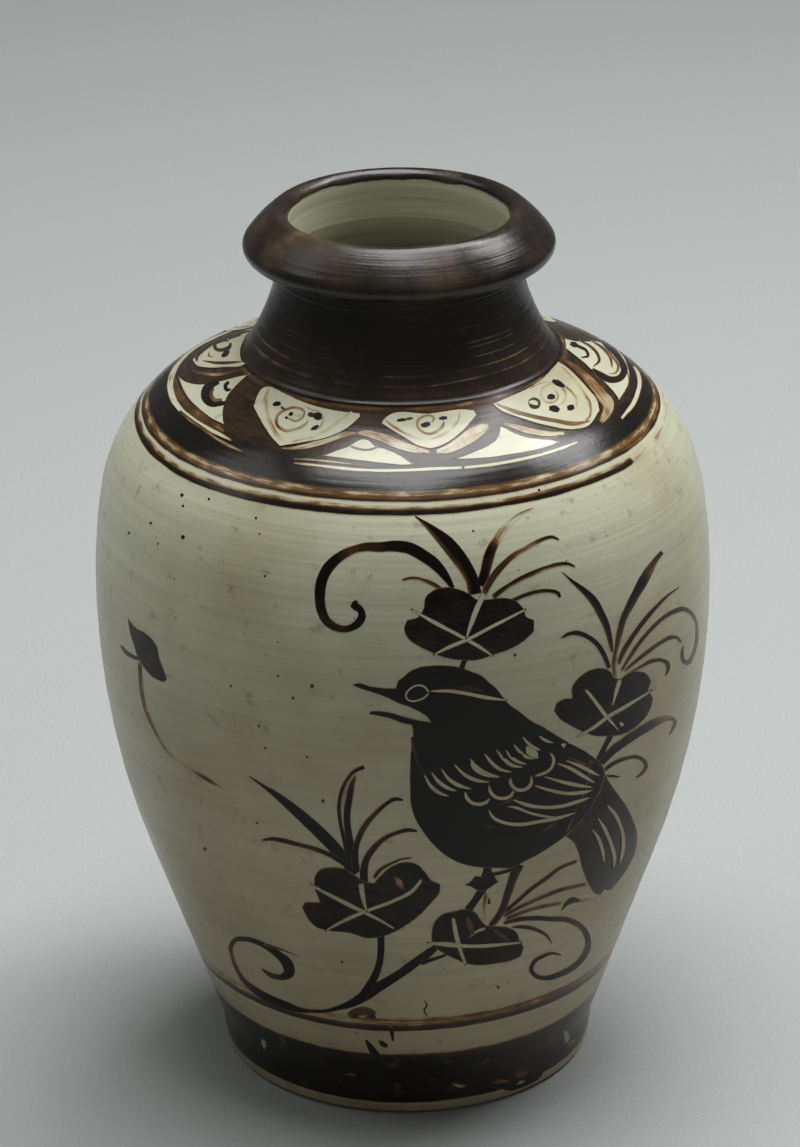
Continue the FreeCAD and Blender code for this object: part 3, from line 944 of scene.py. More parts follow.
RIGHT_LEAVES = (
    ((0.6, 1), (
        (562, 572, 1, 0.8), (572, 581, 3, 1.2), (583, 590, 6, 1.3), (593, 600, 8, 1.2),
        (600, 612, 8, 1.1), (606, 625, 7, 1.2), (610, 640, 5, 1.2), (612, 653, 3, 1.0),
    )),
    ((1, 0.6), (
        (662, 552, 4, 1.3), (655, 561, 6, 0.7), (648, 572, 9, 0.6), (643, 581, 10, 1.2),
        (637, 592, 9, 1.1), (629, 607, 8, 1.0), (623, 620, 7, 1.0), (619, 635, 6, 0.8),
        (616, 650, 5, 0.8), (614, 665, 5, 0.6), (615, 678, 4, 0.5),
    )),
    ((1, 1), (
        (679, 587, 1, 0.8), (668, 595, 3, 0.9), (655, 608, 4, 1.0), (643, 622, 5, 1.1),
        (632, 637, 5, 1.0), (624, 650, 5, 0.9), (618, 664, 4, 0.8),
    )),
    ((1, 1), (
        (621, 671, 3, 0.7), (630, 656, 4, 0.7), (640, 642, 4, 0.8), (652, 628, 4, 0.9),
        (664, 617, 4, 1.0), (675, 611, 5, 1.1), (684, 609, 5, 1.0), (691, 613, 4, 0.8),
        (696, 622, 3, 0.8), (697, 633, 3, 0.8), (696, 645, 3, 0.9), (692, 656, 4, 1.0),
        (687, 663, 5, 1.2), (683, 660, 4, 1.2), (682, 652, 3, 1.0), (683, 645, 1, 1.0),
    )),
    ((1, 1), (
        (624, 671, 3, 0.6), (637, 660, 4, 0.7), (650, 650, 4, 0.8), (663, 641, 4, 0.9),
        (672, 637, 4, 1.0), (678, 638, 3, 1.0), (681, 643, 2, 0.8),
    )),
    ((1, 1), (
        (627, 674, 3, 0.6), (640, 667, 3, 0.6), (652, 661, 4, 0.8), (661, 660, 4, 1.0),
        (667, 663, 5, 1.1), (668, 669, 4, 1.1), (665, 676, 1, 1.0),
    )),
    ((1, 1), (
        (561, 638, 2, 1.0), (568, 634, 4, 1.1), (578, 633, 5, 1.2), (588, 637, 5, 1.2),
        (597, 644, 5, 1.2), (604, 655, 5, 1.2), (609, 668, 4, 1.2),
    )),
    ((1, 1), ((611, 735, 5, 1.3), (604, 748, 5, 1.3), (598, 763, 7, 1.3))),
    ((1, 0.8), (
        (601, 763, 6, 1.3), (612, 751, 8, 1.2), (628, 739, 9, 1.1), (645, 728, 9, 0.9),
        (660, 720, 8, 0.55), (670, 718, 5, 0.55), (675, 721, 4, 0.9), (673, 728, 3, 1.0),
        (669, 735, 1, 1.0),
    )),
    ((1, 1), (
        (604, 770, 4, 1.1), (614, 763, 4, 0.8), (627, 758, 4, 0.8), (637, 757, 4, 0.9),
        (644, 761, 4, 0.9), (646, 766, 4, 0.9), (642, 773, 3, 0.9), (636, 778, 1, 0.8),
    )),
    ((1, 1), ((604, 776, 2, 1.0), (612, 776, 3, 1.0), (620, 777, 1, 0.9))),
)
RIGHT_PETALS = (
    (572, 698), (572, 687), (579, 677), (590, 670), (602, 668), (610, 671), (615, 678), (620, 679),
    (628, 673), (638, 671), (647, 674), (651, 681), (648, 690), (653, 698), (650, 710), (643, 720),
    (633, 729), (620, 735), (608, 736), (595, 736), (583, 732), (571, 726), (560, 719), (554, 711),
    (556, 703), (563, 699),
)
RIGHT_CUTS = (
    ((585, 689, 3, 0), (594, 700, 4, 0), (606, 716, 4, 0), (619, 731, 1, 0)),
    ((577, 737, 2, 0), (594, 727, 4, 0), (606, 718, 4, 0), (628, 705, 4, 0), (652, 690, 2, 0)),
    ((620, 679, 5, 0), (616, 692, 4, 0), (612, 706, 1, 0)),
)
LEFT_LEAVES = (
    ((1, 1), (
        (249, 776, 1, 1.0), (262, 785, 3, 1.1), (275, 794, 6, 1.2), (290, 806, 9, 1.3),
        (305, 819, 11, 1.3), (318, 831, 12, 1.3), (332, 845, 12, 1.3), (345, 860, 11, 1.3),
        (356, 874, 10, 1.3),
    )),
    ((0.7, 1), (
        (262, 840, 2, 1.0), (272, 839, 4, 1.1), (285, 841, 5, 1.0), (300, 845, 5, 0.9),
        (315, 849, 5, 0.8), (330, 855, 5, 1.0), (346, 865, 5, 1.2),
    )),
    ((1, 1), (
        (353, 774, 4, 0.3), (348, 785, 9, 0.25), (344, 800, 11, 0.25), (344, 820, 9, 0.3),
        (348, 842, 6, 0.5),
    )),
    ((1, 1), (
        (364, 767, 4, 1.3), (355, 771, 4, 1.0), (347, 780, 4, 0.9), (341, 793, 4, 1.0),
        (339, 806, 4, 1.1), (340, 820, 4, 1.1), (343, 835, 4, 1.1), (347, 850, 5, 1.2),
        (350, 864, 5, 1.3),
    )),
    ((1, 1), (
        (356, 775, 3, 0.5), (352, 785, 6, 0.8), (349, 800, 7, 1.1), (347, 815, 7, 1.2),
        (348, 830, 7, 1.2), (351, 845, 7, 1.2), (355, 862, 8, 1.3),
    )),
    ((1, 1), (
        (403, 800, 2, 1.2), (395, 799, 4, 1.2), (386, 804, 4, 1.1), (376, 813, 5, 0.8),
        (367, 823, 6, 0.7), (360, 835, 6, 0.8), (356, 847, 6, 1.1), (355, 858, 7, 1.2),
        (356, 870, 8, 1.3),
    )),
    ((1, 1), (
        (417, 831, 2, 1.2), (408, 830, 4, 1.2), (396, 833, 4, 1.0), (385, 838, 5, 0.9),
        (375, 847, 6, 0.8), (367, 858, 7, 0.9), (364, 869, 8, 1.1), (364, 882, 8, 1.3),
    )),
    ((1, 1), (
        (412, 858, 1, 0.9), (402, 859, 2, 0.9), (390, 864, 3, 0.8), (380, 870, 4, 0.7),
        (374, 878, 4, 0.9),
    )),
    ((1, 1), (
        (381, 935, 7, 1.3), (381, 950, 7, 1.3), (379, 965, 7, 1.3), (374, 978, 8, 1.3),
        (367, 990, 9, 1.3), (360, 1000, 9, 1.3),
    )),
)
LEFT_PETALS = (
    (314, 884), (315, 876), (321, 869), (332, 867), (345, 869), (355, 875), (364, 881), (374, 883),
    (382, 874), (392, 866), (405, 862), (418, 865), (426, 873), (431, 880), (440, 884), (440, 892),
    (432, 902), (420, 915), (405, 926), (392, 933), (380, 937), (366, 938), (350, 933), (332, 931),
    (318, 928), (308, 919), (302, 907), (305, 902), (320, 902),
)
LEFT_CUTS = (
    ((310, 884, 2, 0), (330, 895, 4, 0), (364, 912, 4, 0), (380, 920, 3, 0), (395, 929, 2, 0)),
    (
        (325, 931, 2, 0), (343, 921, 4, 0), (366, 911, 4, 0), (395, 900, 4, 0), (412, 891, 4, 0),
        (422, 879, 3, 0),
    ),
    ((361, 883, 6, 0), (363, 897, 5, 0), (367, 912, 2, 0)),
    ((394, 876, 2, 0.5), (399, 882, 7, 0.35), (403, 889, 3, 0.5)),
)
LOW_LEAVES = (
    ((1, 1), (
        (440, 944, 4, 1.3), (430, 952, 8, 1.2), (420, 959, 9, 1.1), (408, 968, 9, 1.2),
        (395, 977, 9, 1.2), (380, 986, 10, 1.3), (366, 995, 11, 1.3), (352, 1003, 8, 1.3),
        (338, 1008, 5, 1.1), (325, 1011, 4, 1.0), (312, 1011, 4, 1.0), (300, 1010, 6, 1.1),
        (285, 1005, 8, 1.2), (270, 999, 8, 1.2), (255, 990, 7, 1.0), (243, 979, 5, 0.7),
        (236, 967, 4, 0.55), (232, 955, 4, 0.55), (231, 946, 5, 0.9), (235, 940, 5, 1.1),
        (245, 939, 5, 1.2), (257, 942, 5, 1.2), (269, 948, 6, 1.2), (280, 956, 8, 1.2),
        (288, 965, 11, 1.2), (289, 973, 11, 1.2), (282, 977, 7, 0.9), (271, 975, 5, 0.7),
        (262, 969, 2, 1.0),
    )),
    ((1, 1), ((264, 944, 3, 0.7), (283, 950, 2, 0.5), (302, 958, 1, 0.3))),
    ((1, 1), ((450, 953, 2, 1.2), (440, 957, 3, 1.2), (430, 960, 4, 1.2), (421, 963, 5, 1.2))),
    ((1, 1), (
        (500, 915, 4, 1.2), (515, 903, 4, 1.1), (530, 890, 4, 0.9), (545, 879, 4, 0.9),
        (560, 868, 4, 0.8), (577, 861, 3, 0.7),
    )),
    ((1, 1), (
        (503, 916, 4, 0.8), (520, 907, 4, 0.7), (540, 898, 4, 0.6), (560, 890, 4, 0.6),
        (586, 884, 3, 0.6),
    )),
    ((1, 1), ((505, 919, 4, 0.8), (520, 913, 4, 0.6), (540, 907, 4, 0.5), (562, 903, 3, 0.5))),
    ((1, 1), ((561, 911, 1, 1.0), (566, 904, 4, 1.2), (573, 900, 6, 1.3), (581, 901, 2, 1.0))),
    ((1, 1), ((580, 902, 2, 0.3), (590, 899, 2, 0.25), (598, 903, 1, 0.2))),
    ((1, 1), (
        (503, 923, 4, 1.0), (520, 919, 5, 1.0), (535, 918, 5, 1.0), (552, 919, 5, 0.9),
        (568, 920, 6, 0.8), (580, 926, 6, 0.8), (587, 936, 6, 0.9), (588, 946, 6, 0.9),
        (583, 957, 6, 1.0), (573, 967, 6, 1.0), (560, 974, 6, 1.0), (546, 978, 5, 1.0),
        (536, 976, 5, 1.0), (531, 970, 5, 1.0), (534, 962, 4, 1.0), (543, 956, 4, 1.0),
        (552, 953, 3, 1.0), (561, 955, 2, 1.0),
    )),
    ((1, 1), (
        (512, 927, 2, 0.7), (525, 927, 4, 0.9), (537, 930, 4, 0.8), (547, 936, 3, 0.8),
        (552, 944, 1, 0.8),
    )),
)
LOW_PETALS = (
    (432, 941), (432, 930), (435, 921), (443, 914), (455, 911), (466, 909), (475, 912), (481, 920),
    (486, 925), (498, 926), (510, 928), (517, 933), (520, 941), (523, 946), (521, 956), (513, 960),
    (500, 963), (485, 965), (468, 964), (455, 959), (445, 954), (436, 948),
)
LOW_CUTS = (
    ((453, 917, 4, 0), (456, 934, 5, 0), (461, 952, 4, 0), (466, 965, 3, 0)),
    ((427, 943, 2, 0), (445, 944, 5, 0), (470, 946, 4, 0), (495, 945, 4, 0), (522, 942, 2, 0)),
    ((486, 928, 3, 0.1), (477, 931, 3, 0.1), (468, 938, 1, 0.4)),
    ((467, 917, 3, 0.5), (470, 925, 6, 0.45), (473, 934, 3, 0.55)),
    ((494, 930, 2, 0.6), (501, 935, 5, 0.5), (508, 940, 2, 0.6)),
)
BUD = (
    (128, 618), (134, 626), (148, 635), (157, 646), (160, 659), (164, 670), (167, 680), (163, 682),
    (154, 678), (146, 670), (139, 660), (134, 645), (130, 632),
)
BUD_STEMS = (
    ((1, 1), ((121, 645, 2, 0.9), (127, 653, 4, 0.9), (134, 657, 4, 1.0), (140, 659, 4, 1.2))),
    ((1, 1), (
        (140, 663, 4, 0.9), (141, 685, 4, 0.5), (146, 710, 4, 0.45), (156, 733, 3, 0.45),
        (167, 751, 3, 0.35), (178, 761, 3, 0.25), (195, 772, 3, 0.3), (205, 778, 4, 0.6),
        (215, 784, 3, 0.4), (226, 791, 2, 0.2),
    )),
)
BIRD = (
    (352, 685), (358, 683), (370, 686), (385, 688), (396, 688), (398, 681), (403, 677), (410, 671),
    (420, 667), (432, 665.5), (445, 665.5), (458, 667), (470, 671), (482, 676), (490, 683), (497, 689),
    (503, 697), (510, 705), (520, 712), (530, 720), (545, 728), (556, 735), (570, 743), (583, 750),
    (592, 756), (600, 762), (604, 771), (600, 790), (585, 815), (572, 830), (560, 840), (545, 850),
    (535, 856), (523, 862), (512, 868), (500, 868), (490, 868), (478, 867), (460, 863), (445, 855),
    (432, 843), (422, 830), (415, 818), (411, 805), (410, 790), (410, 770), (411, 750), (413, 735),
    (412, 725), (402, 723), (392, 719), (380, 716), (369, 714), (371, 711), (380, 711), (392, 713),
    (405, 717), (418, 720), (431, 722), (427, 717), (418, 711), (407, 706), (398, 703), (388, 698),
    (375, 693), (362, 689),
)
TAIL = (
    (590, 760), (600, 765), (608, 780), (617, 793), (625, 804), (632, 818), (637, 834), (636, 848),
    (632, 860), (625, 872), (617, 883), (611, 890), (604, 890), (600, 895), (594, 893), (590, 887),
    (586, 879), (582, 868), (578, 852), (573, 842), (565, 836), (575, 810), (585, 790),
)
EYE_RING = (
    (429, 693), (425, 687), (418, 685), (411, 688), (406, 694), (407, 699), (412, 701), (419, 700),
    (425, 697), (429, 693),
)
FEATHER_CUTS = (
    (4, ((430, 691), (450, 691), (470, 694), (490, 698), (507, 700))),
    (4, ((424, 774), (431, 786), (440, 793), (449, 796))),
    (4, ((431, 771), (438, 781), (448, 788), (457, 791))),
    (4, ((441, 768), (449, 779), (461, 786), (472, 789))),
    (4, ((454, 764), (464, 774), (476, 780), (490, 782))),
    (6, ((470, 758), (474, 766), (484, 773), (500, 777))),
    (4, ((484, 753), (492, 763), (500, 769), (512, 772))),
    (4, ((496, 749), (503, 758), (512, 765), (523, 767))),
    (3.5, ((505, 749), (511, 757), (519, 762), (527, 764))),
    (3.5, ((513, 743), (519, 751), (527, 757), (535, 759))),
    (3.5, ((522, 736), (528, 743), (535, 748), (542, 750))),
    (3.5, ((538, 735), (545, 740), (554, 743))),
    (3.5, ((549, 752), (553, 757), (553, 764), (549, 770), (541, 774), (533, 776))),
    (4, ((531, 775), (531, 783), (527, 788), (520, 790), (513, 787), (510, 781), (511, 777))),
    (4, ((514, 789), (511, 795), (504, 798), (496, 797), (490, 791), (489, 784))),
    (4, ((490, 797), (486, 802), (479, 804), (471, 802), (466, 796), (465, 791))),
    (4, ((557, 763), (570, 768), (585, 777), (595, 783))),
    (4, ((565, 760), (578, 765), (590, 771), (600, 776))),
    (4, ((543, 776), (560, 781), (578, 785), (592, 787))),
    (4, ((534, 785), (550, 790), (567, 793), (582, 792), (592, 790))),
    (4, ((512, 799), (525, 804), (545, 807), (560, 806), (578, 801), (590, 797))),
    (3, ((507, 806), (515, 807), (528, 812), (545, 816), (560, 817))),
    (4, ((488, 809), (493, 817), (503, 822), (520, 824), (540, 821), (560, 817), (576, 812))),
)
TAIL_CUTS = (
    (4, ((606, 804), (614, 813), (620, 825), (623, 840), (622, 852), (619, 864))),
    (4, ((597, 817), (604, 828), (610, 842), (614, 858), (613, 868))),
    (4, ((592, 829), (598, 838), (602, 850), (604, 863))),
)
LEGS = (
    ((1, 1), ((488, 866, 8, 1.3), (487, 873, 9, 1.3), (484, 882, 10, 1.3))),
    ((1, 1), ((483, 888, 9, 1.3), (476, 899, 7, 1.3), (468, 910, 8, 1.3))),
    ((1, 0.7), (
        (518, 864, 12, 1.2), (513, 878, 9, 1.0), (508, 893, 8, 0.9), (504, 905, 7, 0.9),
        (498, 917, 7, 1.1), (490, 926, 5, 1.2),
    )),
    ((1, 1), ((490, 875, 3, 1.2), (503, 872, 4, 1.0), (516, 868, 4, 1.2))),
    ((1, 1), ((486, 893, 3, 0.5), (484, 907, 4, 0.25), (485, 922, 3, 0.2))),
    ((1, 1), ((489, 898, 2, 1.0), (489, 904, 3, 1.2))),
)
KNOT = (
    (465, 885), (472, 880), (475, 876), (483, 877), (488, 872), (494, 872), (495, 877), (498, 882),
    (492, 886), (486, 890), (476, 890), (472, 887),
)

# How far round the back's plant stands
BACK_PLANT = 178.0
# At the back the plant grows alone: two stems down to the low flower where the bird would stand
BACK_STEMS = (
    ((1, 1), (
        (463, 664, 6, 1.3), (456, 700, 6, 1.2), (450, 745, 7, 1.1), (447, 795, 7, 1.2),
        (449, 850, 8, 1.3), (455, 908, 9, 1.3),
    )),
    ((1, 1), (
        (598, 763, 7, 1.3), (588, 795, 7, 1.2), (570, 830, 7, 1.1), (545, 868, 7, 1.2),
        (522, 898, 6, 1.2), (500, 925, 5, 1.3),
    )),
)

# Petal panels round the neck: the cream field, then brown lines, then dark dots
PANELS = (
    (
        (
            (263, 387), (268, 386), (285, 393), (300, 400), (330, 409), (360, 413), (361, 417),
            (350, 427), (340, 433), (325, 439), (310, 442), (280, 447), (272, 439), (262, 424),
            (253, 407), (257, 395),
        ),
        (
            (4.5, 0.2, ((269, 389), (266, 398), (267, 410), (271, 424), (277, 435), (284, 442))),
            (4, 0.2, ((352, 412), (344, 418), (336, 424), (324, 432), (310, 438), (292, 442))),
            (3.5, 0.34, (
                (286, 417), (294, 421), (302, 418), (304, 412), (297, 408), (286, 410), (277, 417),
                (277, 425), (285, 431), (296, 430), (305, 425), (309, 420),
            )),
            (3, 0.26, ((305, 407), (312, 410), (320, 413), (323, 420), (321, 427), (314, 431))),
        ),
        (
            ((273, 405.5, 2, 1.2), (277, 404, 5, 1.3), (281, 404, 3, 1.2)),
            ((281, 407, 1.5, 0.6), (283, 408.5, 3, 0.6), (285, 410, 1.5, 0.6)),
            ((289, 415.5, 2, 1.2), (291, 414.4, 4, 1.3), (293, 413, 2, 1.2)),
            ((285, 418, 1.5, 1), (286.6, 418, 3, 1.1), (288, 418.5, 1.5, 1)),
            ((308, 414.5, 3, 0.8), (311, 415, 5, 0.9), (314, 415.5, 4, 1)),
            ((314, 416, 5, 1.2), (318, 416.6, 8, 1.3), (322, 417, 5, 1.2)),
            ((311, 430, 1.5, 1.2), (315, 428, 4, 1.3), (319, 426, 2, 1.2)),
        ),
    ),
    (
        (
            (388, 415), (430, 413), (466, 409), (474, 410), (477, 415), (470, 424), (458, 436),
            (442, 446), (432, 449), (420, 447), (402, 437), (381, 424), (383, 419),
        ),
        (
            (3.5, 0.3, ((385, 420), (395, 428), (408, 435), (422, 441))),
            (3, 0.24, ((460, 411), (458, 421), (450, 430), (440, 436), (430, 440))),
            (3.5, 0.38, (
                (431, 423), (434, 419), (430, 416), (424, 417), (418, 421), (418, 428), (424, 433),
                (431, 434), (438, 431), (443, 426), (444, 421),
            )),
        ),
        (
            ((397, 421, 2, 1.2), (401, 420.3, 3.5, 1.3), (406, 420, 2.5, 1)),
            ((406, 419.7, 2, 0.5), (409, 419, 3, 0.5), (413, 418.5, 1.5, 0.5)),
            ((421, 426, 3, 1.2), (426, 425, 5.5, 1.3), (430, 423.5, 3.5, 1.2)),
            ((439, 419, 2, 1.2), (443, 418.5, 4, 1.3), (447, 418, 2.5, 1.2)),
        ),
    ),
    (
        (
            (492, 404), (505, 398), (529, 387), (540, 380), (550, 370), (558, 361), (566, 366),
            (576, 375), (588, 388), (598, 401), (600, 411), (588, 427), (575, 430), (545, 426),
            (515, 417), (500, 411),
        ),
        (
            (4.5, 0.4, ((496, 404), (510, 410), (530, 416), (555, 421), (578, 424), (590, 421))),
            (3.5, 0.27, ((561, 366), (573, 379), (583, 392), (590, 406), (590, 416), (584, 422))),
            (3, 0.28, (
                (530, 389), (538, 384), (548, 382), (559, 384), (569, 390), (576, 400), (576, 407),
            )),
            (3, 0.3, (
                (554, 390), (558, 396), (554, 402), (546, 402), (541, 396), (543, 388), (551, 384),
                (560, 386), (565, 393), (564, 401), (557, 406),
            )),
            (3, 0.7, ((528, 401), (534, 399), (539, 402), (538, 407), (531, 407), (528, 402))),
        ),
        (
            ((547, 398, 3, 1), (551, 397, 6, 1.1), (555, 397.5, 3, 1)),
            ((552, 381, 3, 1.2), (558, 383.5, 6, 1.3), (564, 387, 3, 1.2)),
            ((549, 408.5, 4, 1.2), (554.4, 409, 7, 1.3), (559, 411, 4, 1.2)),
            ((567, 408.5, 4, 1.2), (570.5, 408, 6, 1.3), (574, 407, 4, 1.2)),
            ((530, 405, 2, 1.2), (533, 407, 4, 1.2), (538, 407, 2.5, 1.2)),
        ),
    ),
)
LEFT_PANEL = (
    (
        (258, 326), (248, 329), (230, 334), (213, 342), (200, 351), (192, 360), (196, 366), (207, 368.5),
        (225, 368), (243, 366.5), (247, 364), (243, 361), (241, 355), (242, 347), (247, 338),
    ),
    (
        (4, 0.8, ((250, 331), (235, 335), (218, 341), (205, 349), (197, 357), (197, 362))),
        (3, 0.7, ((203, 361), (215, 363), (230, 363), (242, 362))),
        (4, 0.9, ((229, 341), (221, 341), (215, 345), (216, 349), (224, 350), (230, 347), (231, 343))),
        (3, 0.8, ((229, 340), (236, 336), (241, 336))),
        (3, 0.4, ((210, 352), (209, 356), (214, 357))),
    ),
    (((222, 357, 3, 1.2), (225.5, 354.5, 5.5, 1.3), (229, 351, 3, 1.2)),),
)
RIGHT_PANEL = (
    (
        (564, 338), (578, 341), (590, 341), (599, 341.5), (611, 351), (622, 362), (628, 374), (629, 383),
        (625, 392), (619, 401), (614, 394), (607, 386), (596, 376), (585, 365), (574, 356), (565, 349),
    ),
    (
        (3, 1.2, ((571, 344), (579, 347), (586, 351), (588, 356), (581, 358))),
        (3, 0.7, ((579, 341), (589, 346), (597, 354), (599, 361), (593, 367))),
        (3, 0.6, ((591, 341), (602, 348), (610, 358), (612, 368))),
        (7, 1.1, (
            (600, 340), (611, 350), (620, 361), (624, 371), (620, 378), (611, 380), (601, 376),
            (592, 369),
        )),
        (3, 0.4, ((604, 348), (612, 357), (618, 367), (616, 373), (608, 374))),
    ),
    (((570, 343.5, 3, 1.2), (574, 345, 5.5, 1.3), (578, 346.5, 3, 1.2)),),
)
# Cream fields between the panels and the ring, then the strokes there, each with the pigment
# at its rim: at the sides the dark curl and the gold and cream rings round the panels
SIDE_FIELDS = (
    (
        (178, 376), (186, 381), (195, 383.5), (206, 383.5), (220, 380.5), (236, 376.5), (252, 373),
        (243, 380), (236, 387), (229, 395), (225, 404), (223.5, 415), (224.5, 425), (213, 420),
        (201, 411), (190, 401), (183, 390), (180, 383),
    ),
)
SIDE_STROKES = (
    (None, (
        (219, 382, 4, 1.2), (211, 385, 8, 1.3), (206, 391, 9, 1.3), (206, 398, 9, 1.3),
        (211, 403, 8, 1.3), (219, 404, 5, 1.3), (225, 403, 4, 1.3),
    )),
    (0.8, ((213, 388, 3, 0.5), (211, 394, 4, 0.45), (214, 400, 4, 0.45), (222, 400, 3, 0.4))),
    (None, ((229, 382, 3, 1.2), (225.5, 386, 4, 1.2), (227, 390, 4, 1.2), (231, 389.5, 2, 1.2))),
    (0.8, (
        (172, 374, 6, 0.5), (175, 387, 9, 0.5), (181, 399, 10, 0.5), (191, 409, 10, 0.52),
        (204, 418, 9, 0.5), (216, 426, 7, 0.5), (225, 432, 4, 0.5),
    )),
    (0.6, (
        (240, 328, 2, 0), (226, 333, 2.5, 0), (214, 338, 3, 0), (201, 344.5, 3, 0), (190, 352, 3.5, 0),
        (181, 361, 4, 0), (174, 371, 6, 0), (170.5, 384, 7, 0), (173, 398, 7, 0), (182, 411, 6, 0),
        (196, 422, 6, 0), (211, 430, 5, 0.05), (223, 436, 4, 0.1), (232, 441, 2, 0.3),
    )),
    (0.9, (
        (180, 411, 2, 0.5), (190, 420, 4, 0.4), (203, 429, 4, 0.35), (217, 439, 4, 0.3),
        (230, 446, 4, 0.3), (243, 452, 2, 0.4),
    )),
    (0.8, (
        (191, 370, 3, 0.5), (200, 373, 4, 0.45), (215, 375, 4, 0.4), (230, 373, 4, 0.5),
        (240, 371, 3, 0.6),
    )),
    (0.8, (
        (600, 344, 2, 0), (608, 347, 5, 0), (616.5, 353, 6, 0), (623.5, 363, 6, 0), (627, 374, 5, 0),
        (626.5, 384, 5, 0), (623, 394, 3, 0),
    )),
    (0.6, (
        (633, 366, 2, 0), (637.5, 373, 4, 0), (639.5, 382, 5, 0), (637.5, 393, 5, 0), (631, 407, 5, 0),
        (626, 413, 4, 0), (621, 419, 3, 0),
    )),
    (0.9, (
        (652, 420, 3, 0.5), (646, 432, 4, 0.45), (637, 441, 4, 0.45), (625, 449, 4, 0.5),
        (612, 455, 3, 0.6),
    )),
    (0.8, (
        (562, 359, 3, 0.5), (573, 366, 6, 0.42), (584, 375, 8, 0.38), (594, 386, 10, 0.34),
        (602, 396, 12, 0.3), (608, 404, 13, 0.3), (606, 414, 10, 0.35), (600, 423, 5, 0.45),
    )),
)
# and in the middle the dry gold brush under the panels
MIDDLE_FIELDS = (
    (
        (321, 456), (335, 450.5), (350, 445), (357, 440.5), (363, 438.5), (369, 440), (376, 446),
        (384, 448), (393, 451.5), (402, 456), (409, 461), (415, 464.5), (405, 465.5), (385, 464),
        (360, 461), (340, 458.5),
    ),
    (
        (500, 426), (504, 427), (513, 432), (524, 436), (540, 438.5), (557, 441), (560, 442.5),
        (548, 447), (530, 451.5), (510, 455), (490, 458), (468, 459.5), (450, 460), (462, 456),
        (476, 450.5), (488, 445), (496, 439), (499, 432),
    ),
)
MIDDLE_STROKES = (
    (0.9, (
        (293, 459, 2, 0.35), (305, 459.5, 3, 0.25), (320, 460.5, 3, 0.25), (335, 462, 3, 0.2),
        (350, 464, 2, 0.3), (375, 466.5, 2, 0.5),
    )),
    (0.8, (
        (281, 448.5, 2, 0.3), (292, 448.5, 4, 0.2), (305, 446.5, 6, 0.2), (320, 442.5, 7, 0.22),
        (335, 437.5, 7, 0.25), (348, 434, 6, 0.3), (358, 433, 3, 0.4),
    )),
    (0.7, (
        (357, 433, 4, 0.3), (370, 434, 8, 0.28), (384, 438, 10, 0.25), (398, 444, 10, 0.25),
        (413, 449, 8, 0.22), (430, 452, 4, 0.3),
    )),
    (0.5, (
        (436, 452, 4, 0.2), (448, 449, 9, 0.15), (460, 443, 12, 0.15), (471, 436, 14, 0.18),
        (480, 430, 12, 0.2), (489, 426, 6, 0.3),
    )),
    (0.8, (
        (503, 424, 4, 0.4), (515, 427, 6, 0.3), (530, 431, 7, 0.25), (548, 434, 6, 0.2),
        (565, 433, 4, 0.3),
    )),
    (None, (
        (350, 446, 2, 0.5), (358, 449, 2.5, 0.5), (366, 450, 2.5, 0.5), (374, 448.5, 2.5, 0.5),
        (378, 446, 2, 0.5),
    )),
)
# The cream line outside the panels, and where it is laid: its turn and rise
CREAM_LINE = (
    (0.8, (
        (293, 463, 2, 0.3), (303, 464, 3.5, 0.12), (318, 465.5, 3.5, 0.1), (335, 467.5, 4, 0.05),
        (355, 469.5, 4, 0), (380, 470.5, 4, 0), (410, 470, 4, 0), (440, 468.5, 4, 0), (465, 467.5, 4, 0),
        (485, 465.5, 4, 0), (505, 462.5, 4, 0), (525, 458.5, 4, 0), (545, 453.5, 4, 0), (562, 448, 4, 0),
        (578, 442, 2, 0),
    )),
)
CREAM_LINE_TURNS = ((0.0, 0.0), (150.0, 0.0), (190.0, -0.5))
# The back of the shoulder repeats the middle of the front, turned so far
BACK_TURN = 172.0
# The rings: height and pigment of each row, upwards
SHOULDER_ROWS = (
    (232.2, 0.0), (232.7, 0.95), (233.3, 0.5), (234.2, 0.3), (234.8, 0.45), (235.4, 1.15), (238.6, 1.1),
    (242.5, 0.76), (250.4, 0.76), (250.75, 0.55), (251.15, 0.5), (251.45, 1.0), (252.04, DENSE),
)
RING_ROWS = ((229.0, 0.0), (229.4, 1.1), (230.2, 1.0), (230.6, 0.45), (231.3, 0.2), (231.6, 0.0))
FOOT_LINE_ROWS = (
    (37.5, 0.0), (38.1, 0.95), (39.8, 0.75), (40.6, 0.46), (41.9, 0.42), (42.6, 0.6), (43.3, 0.35),
    (44.0, 0.0),
)
FOOT_ROWS = ((4.3, 0.0), (5.0, 1.0), (8.0, 1.05), (22.0, 1.1), (26.2, 0.85), (27.4, 0.0))
